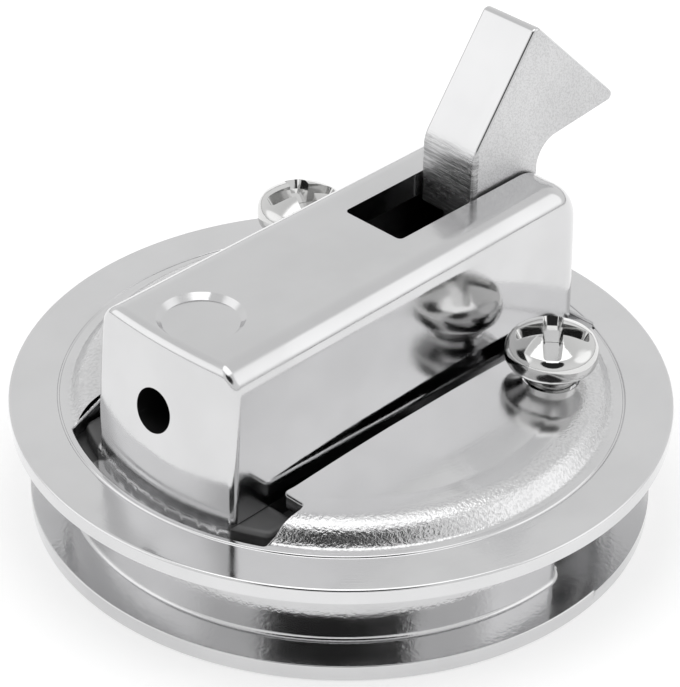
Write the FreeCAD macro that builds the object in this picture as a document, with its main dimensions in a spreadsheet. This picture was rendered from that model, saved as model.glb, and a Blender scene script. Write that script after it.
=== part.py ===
import FreeCAD, Part
import math
import os
import Sketcher

# A round flush-pull hatch latch, lying on the face of its bezel.
# +X runs along the box towards the bolt, +Y across it, +Z from the bezel to the back.
# The origin is the centre of the bezel's front face. All sizes are millimetres and degrees.

Vector = FreeCAD.Vector
doc = FreeCAD.newDocument("hatch_latch")

SIZES = [
    ("flange_width", 3.55, "bezel, reach beyond the cup wall"),
    ("flange_thickness", 1.65, "bezel, thickness"),
    ("flange_bevel", 0.3, "bezel, bevel of its front edge"),
    ("flange_step", 0.15, "bezel, step down on the bolt side of its back face"),
    ("neck_radius", 24.8, "cup wall, outer radius, for a 50.8 mm hole"),
    ("neck_top", 9.7, "cup wall, height of its end, where the backing plate seats"),
    ("neck_end", 3.0, "cup, X of its straight end wall"),
    ("neck_corner", 2.4, "cup, radius of the two outer corners"),
    ("cup_wall", 1.6, "cup, wall and floor thickness"),
    ("foot_top", 10.7, "foot of the box, height of its upright sides"),
    ("heel_top", 13.9, "flare between the foot and the box, height"),
    ("foot_ledge", 0.1, "flare, ledge round the box"),
    ("foot_inset", 1.2, "foot of the box, distance of its hole end from the cup wall's face"),
    ("lug_half_width", 11.7, "side lugs of the foot, half width over both"),
    ("lug_depth", 6.2, "side lugs, depth from the round end of the foot"),
    ("lug_drop", 0.2, "side lugs, step down from the top of the backing plate"),
    ("lug_round", 0.9, "side lugs, rounding of the outer top edge"),
    ("box_top", 26.5, "box, height of its top face"),
    ("box_half_width", 7.1, "box, half width at its top"),
    ("box_inset", 1.9, "box, distance of the hole end at its top from the foot's"),
    ("box_far", 23.3, "box, distance of the bolt end at its top"),
    ("side_draft", 3.0, "box, draft of the long sides"),
    ("end_draft", 1.2, "box, draft of the ends"),
    ("end_crown", 60.0, "box, crown radius of the hole end"),
    ("long_edge", 2.3, "box, radius of the long top edges"),
    ("near_edge", 0.85, "box, radius of the edges round the hole end"),
    ("far_edge", 2.6, "box, radius of the upright edges at the bolt end"),
    ("roof", 2.4, "box, thickness of the top wall"),
    ("cavity_half_width", 5.0, "cavity, half width"),
    ("end_wall", 2.1, "box, wall at the hole end, at its top"),
    ("cavity_far", 22.4, "cavity and window, distance of the bolt end"),
    ("window_near", 3.6, "window, X of its inner end"),
    ("window_half_width", 3.4, "window, half width"),
    ("recess_radius", 3.8, "round recess on top, radius"),
    ("recess_depth", 0.55, "round recess on top, depth"),
    ("recess_inset", 4.8, "round recess on top, distance from the hole end"),
    ("hole_radius", 2.0, "hole in the end face, radius"),
    ("hole_height", 18.5, "hole in the end face, height"),
    ("hole_offset", 1.2, "hole in the end face, Y"),
    ("boss_place_x", 11.1, "screw bosses, X"),
    ("boss_place_y", 15.3, "screw bosses, distance from the middle plane"),
    ("boss_radius", 3.4, "screw bosses, radius"),
    ("boss_top", 9.1, "screw bosses, height"),
    ("boss_floor", 2.0, "screw bosses, height of the bottom of the hole"),
    ("plate_reach", 5.2, "backing plate, reach beyond the cup wall"),
    ("plate_gauge", 1.4, "backing plate, thickness"),
    ("plate_rise", 1.8, "backing plate, rise of the raised middle"),
    ("rim_width", 5.65, "backing plate, width of the flat rim"),
    ("shoulder_run", 4.65, "backing plate, width of the shoulder"),
    ("shoulder_cove", 0.5, "backing plate, cove at the foot of the shoulder"),
    ("groove_inset", 4.5, "backing plate, distance of the fine groove from the rim"),
    ("groove_depth", 0.12, "backing plate, depth of the fine groove"),
    ("slot_gap", 0.35, "backing plate, gap round the foot of the box"),
    ("slot_end_gap", 1.2, "backing plate, gap at the hole end of the slot"),
    ("slot_corner", 0.6, "backing plate, radius of the slot's corners"),
    ("plate_bevel", 0.35, "backing plate, bevel of its outer edge"),
    ("screw_radius", 2.0, "clamp screws, shank radius"),
    ("screw_length", 12.0, "clamp screws, length under the head"),
    ("screw_head_radius", 4.25, "clamp screws, head radius"),
    ("screw_head_height", 2.9, "clamp screws, head height"),
    ("screw_head_side", 1.3, "clamp screws, height of the widest part of the head"),
    ("screw_head_waist", 0.45, "clamp screws, taper of the head's side"),
    ("screw_slot", 1.1, "clamp screws, width of the slot"),
    ("screw_slot_depth", 1.15, "clamp screws, depth of the slot"),
    ("screw_cross", 1.35, "clamp screws, width of the cross recess"),
    ("screw_cross_reach", 2.7, "clamp screws, reach of the cross recess"),
    ("screw_cross_depth", 1.7, "clamp screws, depth of the cross recess"),
    ("screw_lift_right", 2.5, "right screw, space left under the head"),
    ("screw_lift_left", 3.6, "left screw, space left under the head"),
    ("screw_angle_right", 41.0, "right screw, direction of its slot"),
    ("screw_angle_left", 62.0, "left screw, direction of its slot"),
    ("screw_play", 0.05, "gap between a shank and its threaded boss"),
    ("plate_play", 0.4, "gap between a shank and the backing plate"),
    ("pin_radius", 1.5, "pivot pin, radius"),
    ("pin_place", 19.5, "pivot pin, X"),
    ("pin_height", 4.7, "pivot pin, height"),
    ("pin_inset", 0.4, "pivot pin, distance of its ends inside the foot's sides"),
    ("pin_bevel", 0.3, "pivot pin, bevel of its ends"),
    ("pin_seat", 0.01, "gap between the pin and the housing"),
    ("pin_play", 0.06, "gap between the pin and what turns on it"),
    ("bolt_half_width", 3.1, "bolt, half width"),
    ("bolt_face", 13.3, "bolt, X of its flat face"),
    ("bolt_face_foot", 23.6, "bolt, height of the lower end of its flat face"),
    ("bolt_bend", 30.5, "bolt, height of the bend of its face"),
    ("bolt_crest_x", 21.1, "bolt, X of its highest edge"),
    ("bolt_crest", 40.7, "bolt, height of its highest edge"),
    ("bolt_tip_x", 33.2, "bolt, X of the tip of the hook"),
    ("bolt_tip", 29.3, "bolt, height of the tip of the hook"),
    ("bolt_throat_x", 24.8, "bolt, X of the end of the hook's flat underside"),
    ("bolt_throat", 28.6, "bolt, height of the end of the hook's underside"),
    ("bolt_throat_round", 2.6, "bolt, radius of the throat"),
    ("bolt_play", 0.15, "gap between the bolt's back and the end of the window"),
    ("bolt_arm_x", 15.3, "bolt, X of the inner side of its arm"),
    ("bolt_arm_foot", 10.1, "bolt, height where its arm narrows to the hub"),
    ("bolt_bend_round", 3.0, "bolt, rounding of the bend of its face"),
    ("bolt_tip_round", 0.6, "bolt, rounding of the tip"),
    ("bolt_edge", 0.25, "bolt, bevel of the hook's side edges"),
    ("hub_radius", 2.6, "hubs on the pin, radius"),
    ("hub_inner_side", 0.4, "bolt hub, distance of its inner side from the middle"),
    ("tail_end", 8.0, "bolt tail, X of its end"),
    ("tail_top", 8.9, "bolt tail, height of its upper side"),
    ("tail_thickness", 2.2, "bolt tail, thickness"),
    ("paddle_inset", 0.3, "handle, depth of its face inside the bezel's face"),
    ("paddle_thickness", 2.0, "handle, thickness of the plate"),
    ("paddle_half_width", 13.5, "handle, half width of the finger plate"),
    ("paddle_end", 11.5, "handle, distance of the finger end from the centre"),
    ("paddle_gap", 0.65, "gap between the finger plate and the cup's end wall"),
    ("paddle_corner", 5.0, "handle, radius of the finger plate's outer corners"),
    ("paddle_edge", 0.45, "handle, bevel of the finger plate's edges"),
    ("neck_gap", 0.4, "gap between the handle's arms and the cavity's sides"),
    ("arm_thickness", 1.2, "handle, thickness of its two arms"),
    ("arm_start", 6.5, "handle, X where its arms rise from the plate"),
    ("plate_end", 16.2, "handle, X where the plate between the arms ends"),
    ("arm_foot", 17.8, "handle, X where the arms leave the plate"),
    ("catch_near", 8.6, "handle's catch, X of its near side"),
    ("catch_length", 2.8, "handle's catch, length"),
    ("catch_thickness", 1.7, "handle's catch, thickness"),
    ("catch_gap", 0.3, "gap between the catch and the bolt's tail"),
    ("catch_reach", 0.6, "handle's catch, distance of its tip from the middle"),
    ("wire_radius", 0.4, "bolt spring, wire radius"),
    ("coil_radius", 2.3, "bolt spring, mean coil radius"),
    ("coil_pitch", 0.95, "bolt spring, pitch of its turns"),
    ("coil_turns", 2.75, "bolt spring, number of turns"),
    ("coil_steps", 12, "bolt spring, straight steps in one turn"),
    ("coil_start", 0.3, "bolt spring, Y of its first turn"),
    ("leg_height", 12.9, "bolt spring, height of the end of its upright leg"),
    ("leg_end", 11.6, "bolt spring, X of its hooked leg"),
    ("leg_depth", 0.9, "bolt spring, depth of its hooked end in the side wall"),
    ("leg_gap", 0.2, "gap round the two ends of the bolt spring"),
    ("leg_bend", 0.8, "bolt spring, bend radius of its hooked leg"),
]

sheet = doc.addObject("Spreadsheet::Sheet", "sizes")
for row, (alias, number, meaning) in enumerate(SIZES, 1):
    sheet.set("A%d" % row, meaning)
    sheet.set("B%d" % row, str(number))
    sheet.setAlias("B%d" % row, alias)
doc.recompute()

# Lengths that follow from the driving ones, as expressions on the sheet.
S = "sizes."
SIDE_SLOPE = "tan(sizes.side_draft * 1 deg)"
END_SLOPE = "tan(sizes.end_draft * 1 deg)"
BOX_RISE = "(sizes.box_top - sizes.heel_top)"
BOX_FOOT_HALF_WIDTH = "(sizes.box_half_width + %s * %s)" % (BOX_RISE, SIDE_SLOPE)
FOOT_HALF_WIDTH = "(%s + sizes.foot_ledge)" % BOX_FOOT_HALF_WIDTH
FLANGE_RADIUS = "(sizes.neck_radius + sizes.flange_width)"
FOOT_NEAR = "(sizes.neck_radius - sizes.foot_inset)"
LUG_START = "(%s - sizes.lug_depth)" % FOOT_NEAR
BOX_NEAR = "(%s - sizes.box_inset)" % FOOT_NEAR
CAVITY_NEAR = "(%s - sizes.end_wall)" % BOX_NEAR
RECESS_PLACE = "(%s - sizes.recess_inset)" % BOX_NEAR
BOX_FOOT_NEAR = "(%s + %s * %s)" % (BOX_NEAR, BOX_RISE, END_SLOPE)
BOX_FOOT_FAR = "(sizes.box_far + %s * %s)" % (BOX_RISE, END_SLOPE)
CUP_RADIUS = "(sizes.neck_radius - sizes.cup_wall)"
CUP_END = "(sizes.neck_end - sizes.cup_wall)"
CUP_CEILING = "(sizes.neck_top - sizes.cup_wall)"
CAVITY_TOP = "(sizes.box_top - sizes.roof)"
PLATE_TOP = "(sizes.neck_top + sizes.plate_gauge)"
DOME_TOP = "(%s + sizes.plate_rise)" % PLATE_TOP
LUG_TOP = "(%s - sizes.lug_drop)" % DOME_TOP
PLATE_RADIUS = "(sizes.neck_radius + sizes.plate_reach)"
SHOULDER_OUTER = "(%s - sizes.rim_width)" % PLATE_RADIUS
SHOULDER_INNER = "(%s - sizes.shoulder_run)" % SHOULDER_OUTER
# The shoulder follows an arc that starts level with the dome.
SHOULDER_ROUND = "((sizes.shoulder_run ^ 2 + sizes.plate_rise ^ 2) / (2 * sizes.plate_rise))"
SHOULDER_LEAN = "asin(sizes.shoulder_run / %s)" % SHOULDER_ROUND
GROOVE_RADIUS = "(%s - sizes.groove_inset)" % PLATE_RADIUS
BOLT_BACK = "(sizes.cavity_far - sizes.bolt_play)"
PADDLE_BACK = "(sizes.paddle_inset + sizes.paddle_thickness)"
ARM_OUTER = "(sizes.cavity_half_width - sizes.neck_gap)"
ARM_INNER = "(%s - sizes.arm_thickness)" % ARM_OUTER
COIL_END = "(sizes.coil_start + sizes.coil_pitch * sizes.coil_turns)"
LEG_HEIGHT = "(sizes.pin_height + sizes.coil_radius)"
LEG_PLACE = "(sizes.pin_place - sizes.coil_radius)"
LEG_HOLE = "(sizes.wire_radius + sizes.leg_gap)"


def value(expression):
    """The number that an expression on the sheet has now."""
    answer = sheet.evalExpression(str(expression).replace(S, ""))
    return float(getattr(answer, "Value", answer))


def new_body(name):
    body = doc.addObject("PartDesign::Body", name)
    body.Label = name
    return body


def new_sketch(body, name, plane, offset="0"):
    """A sketch on one of the body's origin planes, moved along its normal."""
    origin_plane = [item for item in body.Origin.OriginFeatures if item.Role == plane][0]
    sketch = body.newObject("Sketcher::SketchObject", name)
    sketch.AttachmentSupport = [(origin_plane, "")]
    sketch.MapMode = "FlatFace"
    sketch.setExpression("AttachmentOffset.Base.z", offset)
    return sketch


def drive(sketch, kind, first, second, expression, *points):
    """A dimension of the sketch that follows the sheet."""
    if points:
        rule = Sketcher.Constraint(kind, first, second, points[0], points[1], value(expression))
    else:
        rule = Sketcher.Constraint(kind, first, value(expression))
    index = sketch.addConstraint(rule)
    name = "size_%d" % index
    sketch.renameConstraint(index, name)
    sketch.setExpression("Constraints." + name, expression)


def add_circle(sketch, radius, centre=("0", "0")):
    place = Vector(value(centre[0]), value(centre[1]), 0)
    item = sketch.addGeometry(Part.Circle(place, Vector(0, 0, 1), value(radius)))
    drive(sketch, "Radius", item, None, radius)
    drive(sketch, "DistanceX", -1, 1, centre[0], item, 3)
    drive(sketch, "DistanceY", -1, 1, centre[1], item, 3)


def arc_between(start, end, radius):
    """An arc from start to end: to the right of the chord if radius is positive."""
    chord = end - start
    across = Vector(chord.y, -chord.x, 0)
    across.normalize()
    size = abs(radius)
    sagitta = size - math.sqrt(size * size - chord.Length ** 2 / 4)
    middle = (start + end) * 0.5 + across * (sagitta if radius > 0 else -sagitta)
    return Part.Arc(start, middle, end)


def add_outline(sketch, points, arcs=None):
    """A closed outline: arcs maps the number of an edge to its radius and its side."""
    arcs = arcs or {}
    places = [Vector(value(x), value(y), 0) for x, y in points]
    count = len(points)
    ends = []
    for index, start in enumerate(places):
        end = places[(index + 1) % count]
        if index not in arcs:
            item = sketch.addGeometry(Part.LineSegment(start, end))
            ends.append((item, 1, 2))
            continue
        radius, side = arcs[index]
        item = sketch.addGeometry(arc_between(start, end, value(radius) * side))
        drive(sketch, "Radius", item, None, radius)
        ends.append((item, 1, 2) if side > 0 else (item, 2, 1))
    for index, (item, first, last) in enumerate(ends):
        after, start, _ = ends[(index + 1) % count]
        sketch.addConstraint(Sketcher.Constraint("Coincident", item, last, after, start))
        drive(sketch, "DistanceX", -1, 1, points[index][0], item, first)
        drive(sketch, "DistanceY", -1, 1, points[index][1], item, first)


def add_rectangle(sketch, low_x, high_x, low_y, high_y):
    add_outline(sketch, [(low_x, low_y), (high_x, low_y), (high_x, high_y), (low_x, high_y)])


def add_segment_of_disc(sketch, radius, chord):
    """The part of a disc about the origin on the -X side of a chord."""
    half = "sqrt(%s ^ 2 - %s ^ 2)" % (radius, chord)
    size = value(radius)
    top = Vector(value(chord), value(half), 0)
    bottom = Vector(value(chord), -value(half), 0)
    arc = sketch.addGeometry(Part.Arc(top, Vector(-size, 0, 0), bottom))
    line = sketch.addGeometry(Part.LineSegment(bottom, top))
    sketch.addConstraint(Sketcher.Constraint("Coincident", arc, 3, -1, 1))
    sketch.addConstraint(Sketcher.Constraint("Coincident", arc, 1, line, 2))
    sketch.addConstraint(Sketcher.Constraint("Coincident", arc, 2, line, 1))
    sketch.addConstraint(Sketcher.Constraint("Vertical", line))
    drive(sketch, "Radius", arc, None, radius)
    drive(sketch, "DistanceX", -1, 1, chord, line, 1)


def pad(body, sketch, length, reverse=False, midplane=False):
    feature = body.newObject("PartDesign::Pad", sketch.Name + "_pad")
    feature.Profile = sketch
    feature.Reversed = reverse
    feature.Midplane = midplane
    feature.setExpression("Length", length)
    doc.recompute()
    return feature


def pocket(body, sketch, depth=None, reverse=False, midplane=False):
    """A cut of a given depth, or through everything."""
    before = body.Tip.Shape.Volume
    feature = body.newObject("PartDesign::Pocket", sketch.Name + "_cut")
    feature.Profile = sketch
    feature.Reversed = reverse
    feature.Midplane = midplane
    if depth is None:
        feature.Type = "ThroughAll"
    else:
        feature.setExpression("Length", depth)
    doc.recompute()
    if not feature.Shape.Volume < before:
        raise RuntimeError(feature.Name + " cuts nothing")
    return feature


def revolve(body, sketch):
    feature = body.newObject("PartDesign::Revolution", sketch.Name + "_turned")
    feature.Profile = sketch
    feature.ReferenceAxis = (sketch, ["V_Axis"])
    feature.Angle = 360
    doc.recompute()
    return feature


def soften(body, kind, name, radius, wanted):
    """Fillet or chamfer the edges of the tip that the test picks."""
    base = body.Tip
    names = ["Edge%d" % (index + 1) for index, edge in enumerate(base.Shape.Edges) if wanted(edge)]
    if not names:
        raise RuntimeError(name + " finds no edge")
    feature = body.newObject("PartDesign::" + kind, name)
    feature.Base = (base, names)
    feature.setExpression("Radius" if kind == "Fillet" else "Size", radius)
    doc.recompute()
    if feature.Shape.isNull() or "Invalid" in feature.State:
        raise RuntimeError(name + " did not build")
    return feature


def near(first, second, slack=0.01):
    return abs(first - second) < slack


def spots(edge):
    """The two ends and the middle of an edge."""
    low, high = edge.ParameterRange
    return [edge.valueAt(low), edge.valueAt((low + high) / 2), edge.valueAt(high)]


def all_at(edge, axis, place):
    """Whether an edge lies at one value of x, y or z."""
    return all(near(getattr(spot, axis), place) for spot in spots(edge))


def is_upright(edge):
    first, _, last = spots(edge)
    return all_at(edge, "x", first.x) and all_at(edge, "y", first.y) and not near(first.z, last.z)


def draft(body, name, angle, wanted):
    """Lean the faces that the test picks outwards below the top of the box."""
    base = body.Tip
    faces = base.Shape.Faces
    top = max(range(len(faces)), key=lambda index: faces[index].CenterOfMass.z)
    names = ["Face%d" % (index + 1) for index, face in enumerate(faces) if wanted(face)]
    feature = body.newObject("PartDesign::Draft", name)
    feature.Base = (base, names)
    feature.NeutralPlane = (base, ["Face%d" % (top + 1)])
    feature.setExpression("Angle", angle)
    doc.recompute()
    if not feature.Shape.Volume > base.Shape.Volume:
        raise RuntimeError(name + " does not widen the box")
    return feature


def faces_along(axis):
    """A test for the upright faces that look along x or y."""
    def test(face):
        low_u, high_u, low_v, high_v = face.ParameterRange
        normal = face.normalAt((low_u + high_u) / 2, (low_v + high_v) / 2)
        return abs(getattr(normal, axis)) > 0.9
    return test


def draw_box(body):
    """The box, drafted on all four sides from the size of its top."""
    sketch = new_sketch(body, "box", "XY_Plane", S + "heel_top")
    low, high, half = BOX_NEAR, S + "box_far", S + "box_half_width"
    corners = [("-" + low, "-" + half), (high, "-" + half), (high, half), ("-" + low, half)]
    add_outline(sketch, corners, {3: (S + "end_crown", 1)})
    pad(body, sketch, BOX_RISE)
    draft(body, "side_lean", S + "side_draft", faces_along("y"))
    draft(body, "end_lean", S + "end_draft", faces_along("x"))


def draw_foot(body):
    """The foot that stands in the backing plate's slot, and the flare from it to the box."""
    near_x = "sqrt(%s ^ 2 - %s ^ 2)" % (FOOT_NEAR, FOOT_HALF_WIDTH)
    far_x = "(%s + sizes.foot_ledge)" % BOX_FOOT_FAR
    half = FOOT_HALF_WIDTH
    corners = [("-" + near_x, "-" + half), (far_x, "-" + half), (far_x, half), ("-" + near_x, half)]
    arcs = {3: (FOOT_NEAR, 1)}
    foot = new_sketch(body, "foot", "XY_Plane", "0")
    add_outline(foot, corners, arcs)
    flare_foot = new_sketch(body, "flare_foot", "XY_Plane", S + "foot_top")
    add_outline(flare_foot, corners, arcs)
    low = "-(%s + sizes.foot_ledge)" % BOX_FOOT_NEAR
    corners = [(low, "-" + half), (far_x, "-" + half), (far_x, half), (low, half)]
    flare_top = new_sketch(body, "flare_top", "XY_Plane", S + "heel_top")
    add_outline(flare_top, corners, {3: (S + "end_crown", 1)})
    loft = body.newObject("PartDesign::AdditiveLoft", "flare")
    loft.Profile = flare_foot
    loft.Sections = [flare_top]
    loft.Ruled = True
    doc.recompute()
    pad(body, foot, S + "foot_top")

    def is_far_corner(edge):
        return is_upright(edge) and near(spots(edge)[1].x, value(far_x))

    soften(body, "Fillet", "foot_far_corners", "sizes.far_edge + sizes.foot_ledge", is_far_corner)

    lugs = new_sketch(body, "lugs", "XY_Plane", "0")
    outer_x = "sqrt(%s ^ 2 - sizes.lug_half_width ^ 2)" % FOOT_NEAR
    half = S + "lug_half_width"
    corners = [
        ("-" + outer_x, "-" + half),
        ("-" + LUG_START, "-" + half),
        ("-" + LUG_START, half),
        ("-" + outer_x, half),
    ]
    add_outline(lugs, corners, {3: (FOOT_NEAR, 1)})
    pad(body, lugs, LUG_TOP)


def on_arc(edge, radius):
    return all(near(math.hypot(spot.x, spot.y), radius) for spot in spots(edge))


def round_box(body):
    """The rounded upright and top edges of the box."""
    top = value(S + "box_top")
    low = value(S + "heel_top")
    half = value(S + "box_half_width")

    def is_far_upright(edge):
        heights = sorted([spots(edge)[0].z, spots(edge)[2].z])
        return near(heights[0], low) and near(heights[1], top) and spots(edge)[1].x > 0

    def is_long(edge):
        return all_at(edge, "z", top) and near(abs(spots(edge)[1].y), half)

    def is_near(edge):
        return all_at(edge, "z", top) and spots(edge)[1].x < 0.1 - value(BOX_NEAR)

    # The long edges run on round the bolt end, and the near edge down both uprights.
    soften(body, "Fillet", "box_far_uprights", S + "far_edge", is_far_upright)
    soften(body, "Fillet", "box_long_edges", S + "long_edge", is_long)
    soften(body, "Fillet", "box_near_edge", S + "near_edge", is_near)


def is_lug_end(edge):
    return all_at(edge, "z", value(LUG_TOP)) and on_arc(edge, value(FOOT_NEAR))


def draw_bezel(body):
    """The disc, which is a little thicker on the cup's side, and the wall of the cup."""
    cup = new_sketch(body, "cup", "XY_Plane")
    add_segment_of_disc(cup, S + "neck_radius", S + "neck_end")
    pad(body, cup, S + "neck_top")
    soften(body, "Fillet", "cup_corners", S + "neck_corner", is_cup_corner)
    disc = new_sketch(body, "bezel", "XY_Plane")
    add_circle(disc, FLANGE_RADIUS)
    pad(body, disc, "sizes.flange_thickness - sizes.flange_step")
    thicker = new_sketch(body, "bezel_cup_side", "XY_Plane")
    add_segment_of_disc(thicker, FLANGE_RADIUS, S + "neck_end")
    pad(body, thicker, S + "flange_thickness")
    soften(body, "Chamfer", "bezel_edge", S + "flange_bevel", lambda edge: all_at(edge, "z", 0))


def make_housing():
    """Bezel, finger cup, foot and box: one casting."""
    body = new_body("housing")
    draw_box(body)
    round_box(body)
    draw_foot(body)
    soften(body, "Fillet", "lug_ends", S + "lug_round", is_lug_end)
    draw_bezel(body)

    bosses = new_sketch(body, "bosses", "XY_Plane")
    for side in ("", "-"):
        add_circle(bosses, S + "boss_radius", (S + "boss_place_x", side + S + "boss_place_y"))
    pad(body, bosses, S + "boss_top")
    holes = new_sketch(body, "boss_holes", "XY_Plane", S + "boss_top")
    for side in ("", "-"):
        place = (S + "boss_place_x", side + S + "boss_place_y")
        add_circle(holes, "sizes.screw_radius + sizes.screw_play", place)
    pocket(body, holes, "sizes.boss_top - sizes.boss_floor")

    inside = new_sketch(body, "cup_inside", "XY_Plane")
    add_segment_of_disc(inside, CUP_RADIUS, CUP_END)
    pocket(body, inside, CUP_CEILING, reverse=True)
    cavity = new_sketch(body, "cavity", "XY_Plane")
    half = S + "cavity_half_width"
    add_rectangle(cavity, "-" + CAVITY_NEAR, S + "cavity_far", "-" + half, half)
    pocket(body, cavity, CAVITY_TOP, reverse=True)
    window = new_sketch(body, "window", "XY_Plane", S + "box_top")
    half = S + "window_half_width"
    add_rectangle(window, S + "window_near", S + "cavity_far", "-" + half, half)
    pocket(body, window, "sizes.roof + 1")

    recess = new_sketch(body, "recess", "XY_Plane", S + "box_top")
    add_circle(recess, S + "recess_radius", ("-" + RECESS_PLACE, "0"))
    pocket(body, recess, S + "recess_depth")
    end_hole = new_sketch(body, "end_hole", "YZ_Plane", "-" + CAVITY_NEAR)
    add_circle(end_hole, S + "hole_radius", (S + "hole_offset", S + "hole_height"))
    pocket(body, end_hole, "%s - %s" % (FOOT_NEAR, CAVITY_NEAR))
    pin_hole = new_sketch(body, "pin_hole", "XZ_Plane")
    place = (S + "pin_place", S + "pin_height")
    add_circle(pin_hole, "sizes.pin_radius + sizes.pin_seat", place)
    pocket(body, pin_hole, "2 * " + FOOT_HALF_WIDTH, midplane=True)
    leg_hole = new_sketch(body, "leg_hole", "XZ_Plane", "-sizes.cavity_half_width")
    add_circle(leg_hole, LEG_HOLE, (S + "leg_end", LEG_HEIGHT))
    pocket(body, leg_hole, "sizes.leg_depth + sizes.leg_gap")
    return body


def is_cup_corner(edge):
    first = spots(edge)[0]
    outside_foot = abs(first.y) > value(S + "lug_half_width")
    return is_upright(edge) and near(first.x, value(S + "neck_end")) and outside_foot


def shoulder_place(share):
    """A place on the shoulder's arc, at a share of its length from the dome."""
    across = "%s + %s * sin(%s * %s)" % (SHOULDER_INNER, SHOULDER_ROUND, SHOULDER_LEAN, share)
    drop = "%s * (1 - cos(%s * %s))" % (SHOULDER_ROUND, SHOULDER_LEAN, share)
    return ("(%s)" % across, "(%s - %s)" % (DOME_TOP, drop))


def make_plate():
    """The dished backing plate that clamps the panel."""
    body = new_body("backing_plate")
    profile = new_sketch(body, "plate_profile", "XZ_Plane")
    dome_under = "(%s - sizes.plate_gauge)" % DOME_TOP
    under_top = "(%s - sizes.plate_gauge * 0.1)" % SHOULDER_INNER
    under_foot = "(%s - sizes.plate_gauge * 0.4)" % SHOULDER_OUTER
    points = [
        (PLATE_RADIUS, S + "neck_top"),
        (PLATE_RADIUS, PLATE_TOP),
        (SHOULDER_OUTER, PLATE_TOP),
        shoulder_place("2 / 3"),
        shoulder_place("1 / 3"),
        (SHOULDER_INNER, DOME_TOP),
        ("0", DOME_TOP),
        ("0", dome_under),
        (under_top, dome_under),
        (under_foot, S + "neck_top"),
    ]
    add_outline(profile, points)
    revolve(body, profile)

    def is_ring(radius, height):
        def test(edge):
            return all_at(edge, "z", height) and on_arc(edge, radius)
        return test

    cove = is_ring(value(SHOULDER_OUTER), value(PLATE_TOP))
    rim = is_ring(value(PLATE_RADIUS), value(PLATE_TOP))
    soften(body, "Chamfer", "shoulder_foot", S + "shoulder_cove", cove)
    soften(body, "Chamfer", "rim_bevel", S + "plate_bevel", rim)

    groove = new_sketch(body, "groove_profile", "XZ_Plane")
    low = "(%s - sizes.groove_depth)" % PLATE_TOP
    add_outline(groove, [
        ("(%s - sizes.groove_depth)" % GROOVE_RADIUS, PLATE_TOP),
        (GROOVE_RADIUS, low),
        ("(%s + sizes.groove_depth)" % GROOVE_RADIUS, PLATE_TOP),
    ])
    feature = body.newObject("PartDesign::Groove", "fine_groove")
    feature.Profile = groove
    feature.ReferenceAxis = (groove, ["V_Axis"])
    feature.Angle = 360
    doc.recompute()

    slot = new_sketch(body, "slot", "XY_Plane")
    narrow = "(%s + sizes.slot_gap)" % FOOT_HALF_WIDTH
    wide = "(sizes.lug_half_width + sizes.slot_gap)"
    inner = "(%s - sizes.slot_gap)" % LUG_START
    near_radius = "(%s + sizes.slot_end_gap)" % FOOT_NEAR
    near_x = "sqrt(%s ^ 2 - %s ^ 2)" % (near_radius, wide)
    far_x = "(%s + sizes.foot_ledge + sizes.slot_gap)" % BOX_FOOT_FAR
    points = [
        ("-" + near_x, "-" + wide),
        ("-" + inner, "-" + wide),
        ("-" + inner, "-" + narrow),
        (far_x, "-" + narrow),
        (far_x, narrow),
        ("-" + inner, narrow),
        ("-" + inner, wide),
        ("-" + near_x, wide),
    ]
    add_outline(slot, points, {7: (near_radius, 1)})
    pocket(body, slot, reverse=True)

    def is_inner_corner(edge):
        first = spots(edge)[0]
        at_start = near(first.x, -value(inner)) and near(abs(first.y), value(narrow))
        return is_upright(edge) and at_start

    soften(body, "Fillet", "slot_corners", S + "slot_corner", is_inner_corner)

    holes = new_sketch(body, "screw_holes", "XY_Plane")
    for side in ("", "-"):
        place = (S + "boss_place_x", side + S + "boss_place_y")
        add_circle(holes, "sizes.screw_radius + sizes.plate_play", place)
    pocket(body, holes, reverse=True)
    return body


def make_screw(name, side, lift, angle):
    """A pan-head screw with a slot and a cross recess, standing proud of the plate."""
    body = new_body(name)
    profile = new_sketch(body, name + "_profile", "XZ_Plane")
    end = "-sizes.screw_length"
    tip = "(sizes.screw_radius * 0.8)"
    points = [
        ("0", end),
        (tip, end),
        (S + "screw_radius", "(-sizes.screw_length + sizes.screw_radius * 0.2)"),
        (S + "screw_radius", "0"),
        ("(sizes.screw_head_radius - sizes.screw_head_waist)", "0"),
        (S + "screw_head_radius", S + "screw_head_side"),
        ("0", S + "screw_head_height"),
    ]
    rise = "(sizes.screw_head_height - sizes.screw_head_side)"
    dome = "((sizes.screw_head_radius ^ 2 + %s ^ 2) / (2 * %s))" % (rise, rise)
    add_outline(profile, points, {5: (dome, 1)})
    revolve(body, profile)

    slot = new_sketch(body, name + "_slot", "XY_Plane", S + "screw_head_height")
    half = "sizes.screw_slot / 2"
    reach = S + "screw_head_radius"
    add_rectangle(slot, "-" + reach, reach, "-" + half, half)
    pocket(body, slot, S + "screw_slot_depth")
    for turn in ("long", "cross"):
        cross = new_sketch(body, name + "_" + turn, "XY_Plane", S + "screw_head_height")
        half = "sizes.screw_cross / 2"
        reach = S + "screw_cross_reach"
        if turn == "long":
            add_rectangle(cross, "-" + reach, reach, "-" + half, half)
        else:
            add_rectangle(cross, "-" + half, half, "-" + reach, reach)
        pocket(body, cross, S + "screw_cross_depth")

    body.setExpression("Placement.Base.x", S + "boss_place_x")
    body.setExpression("Placement.Base.y", side + S + "boss_place_y")
    body.setExpression("Placement.Base.z", "%s + %s" % (DOME_TOP, lift))
    body.Placement.Rotation = FreeCAD.Rotation(Vector(0, 0, 1), 0)
    body.setExpression("Placement.Rotation.Angle", "%s * 1 deg" % angle)
    return body


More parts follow.
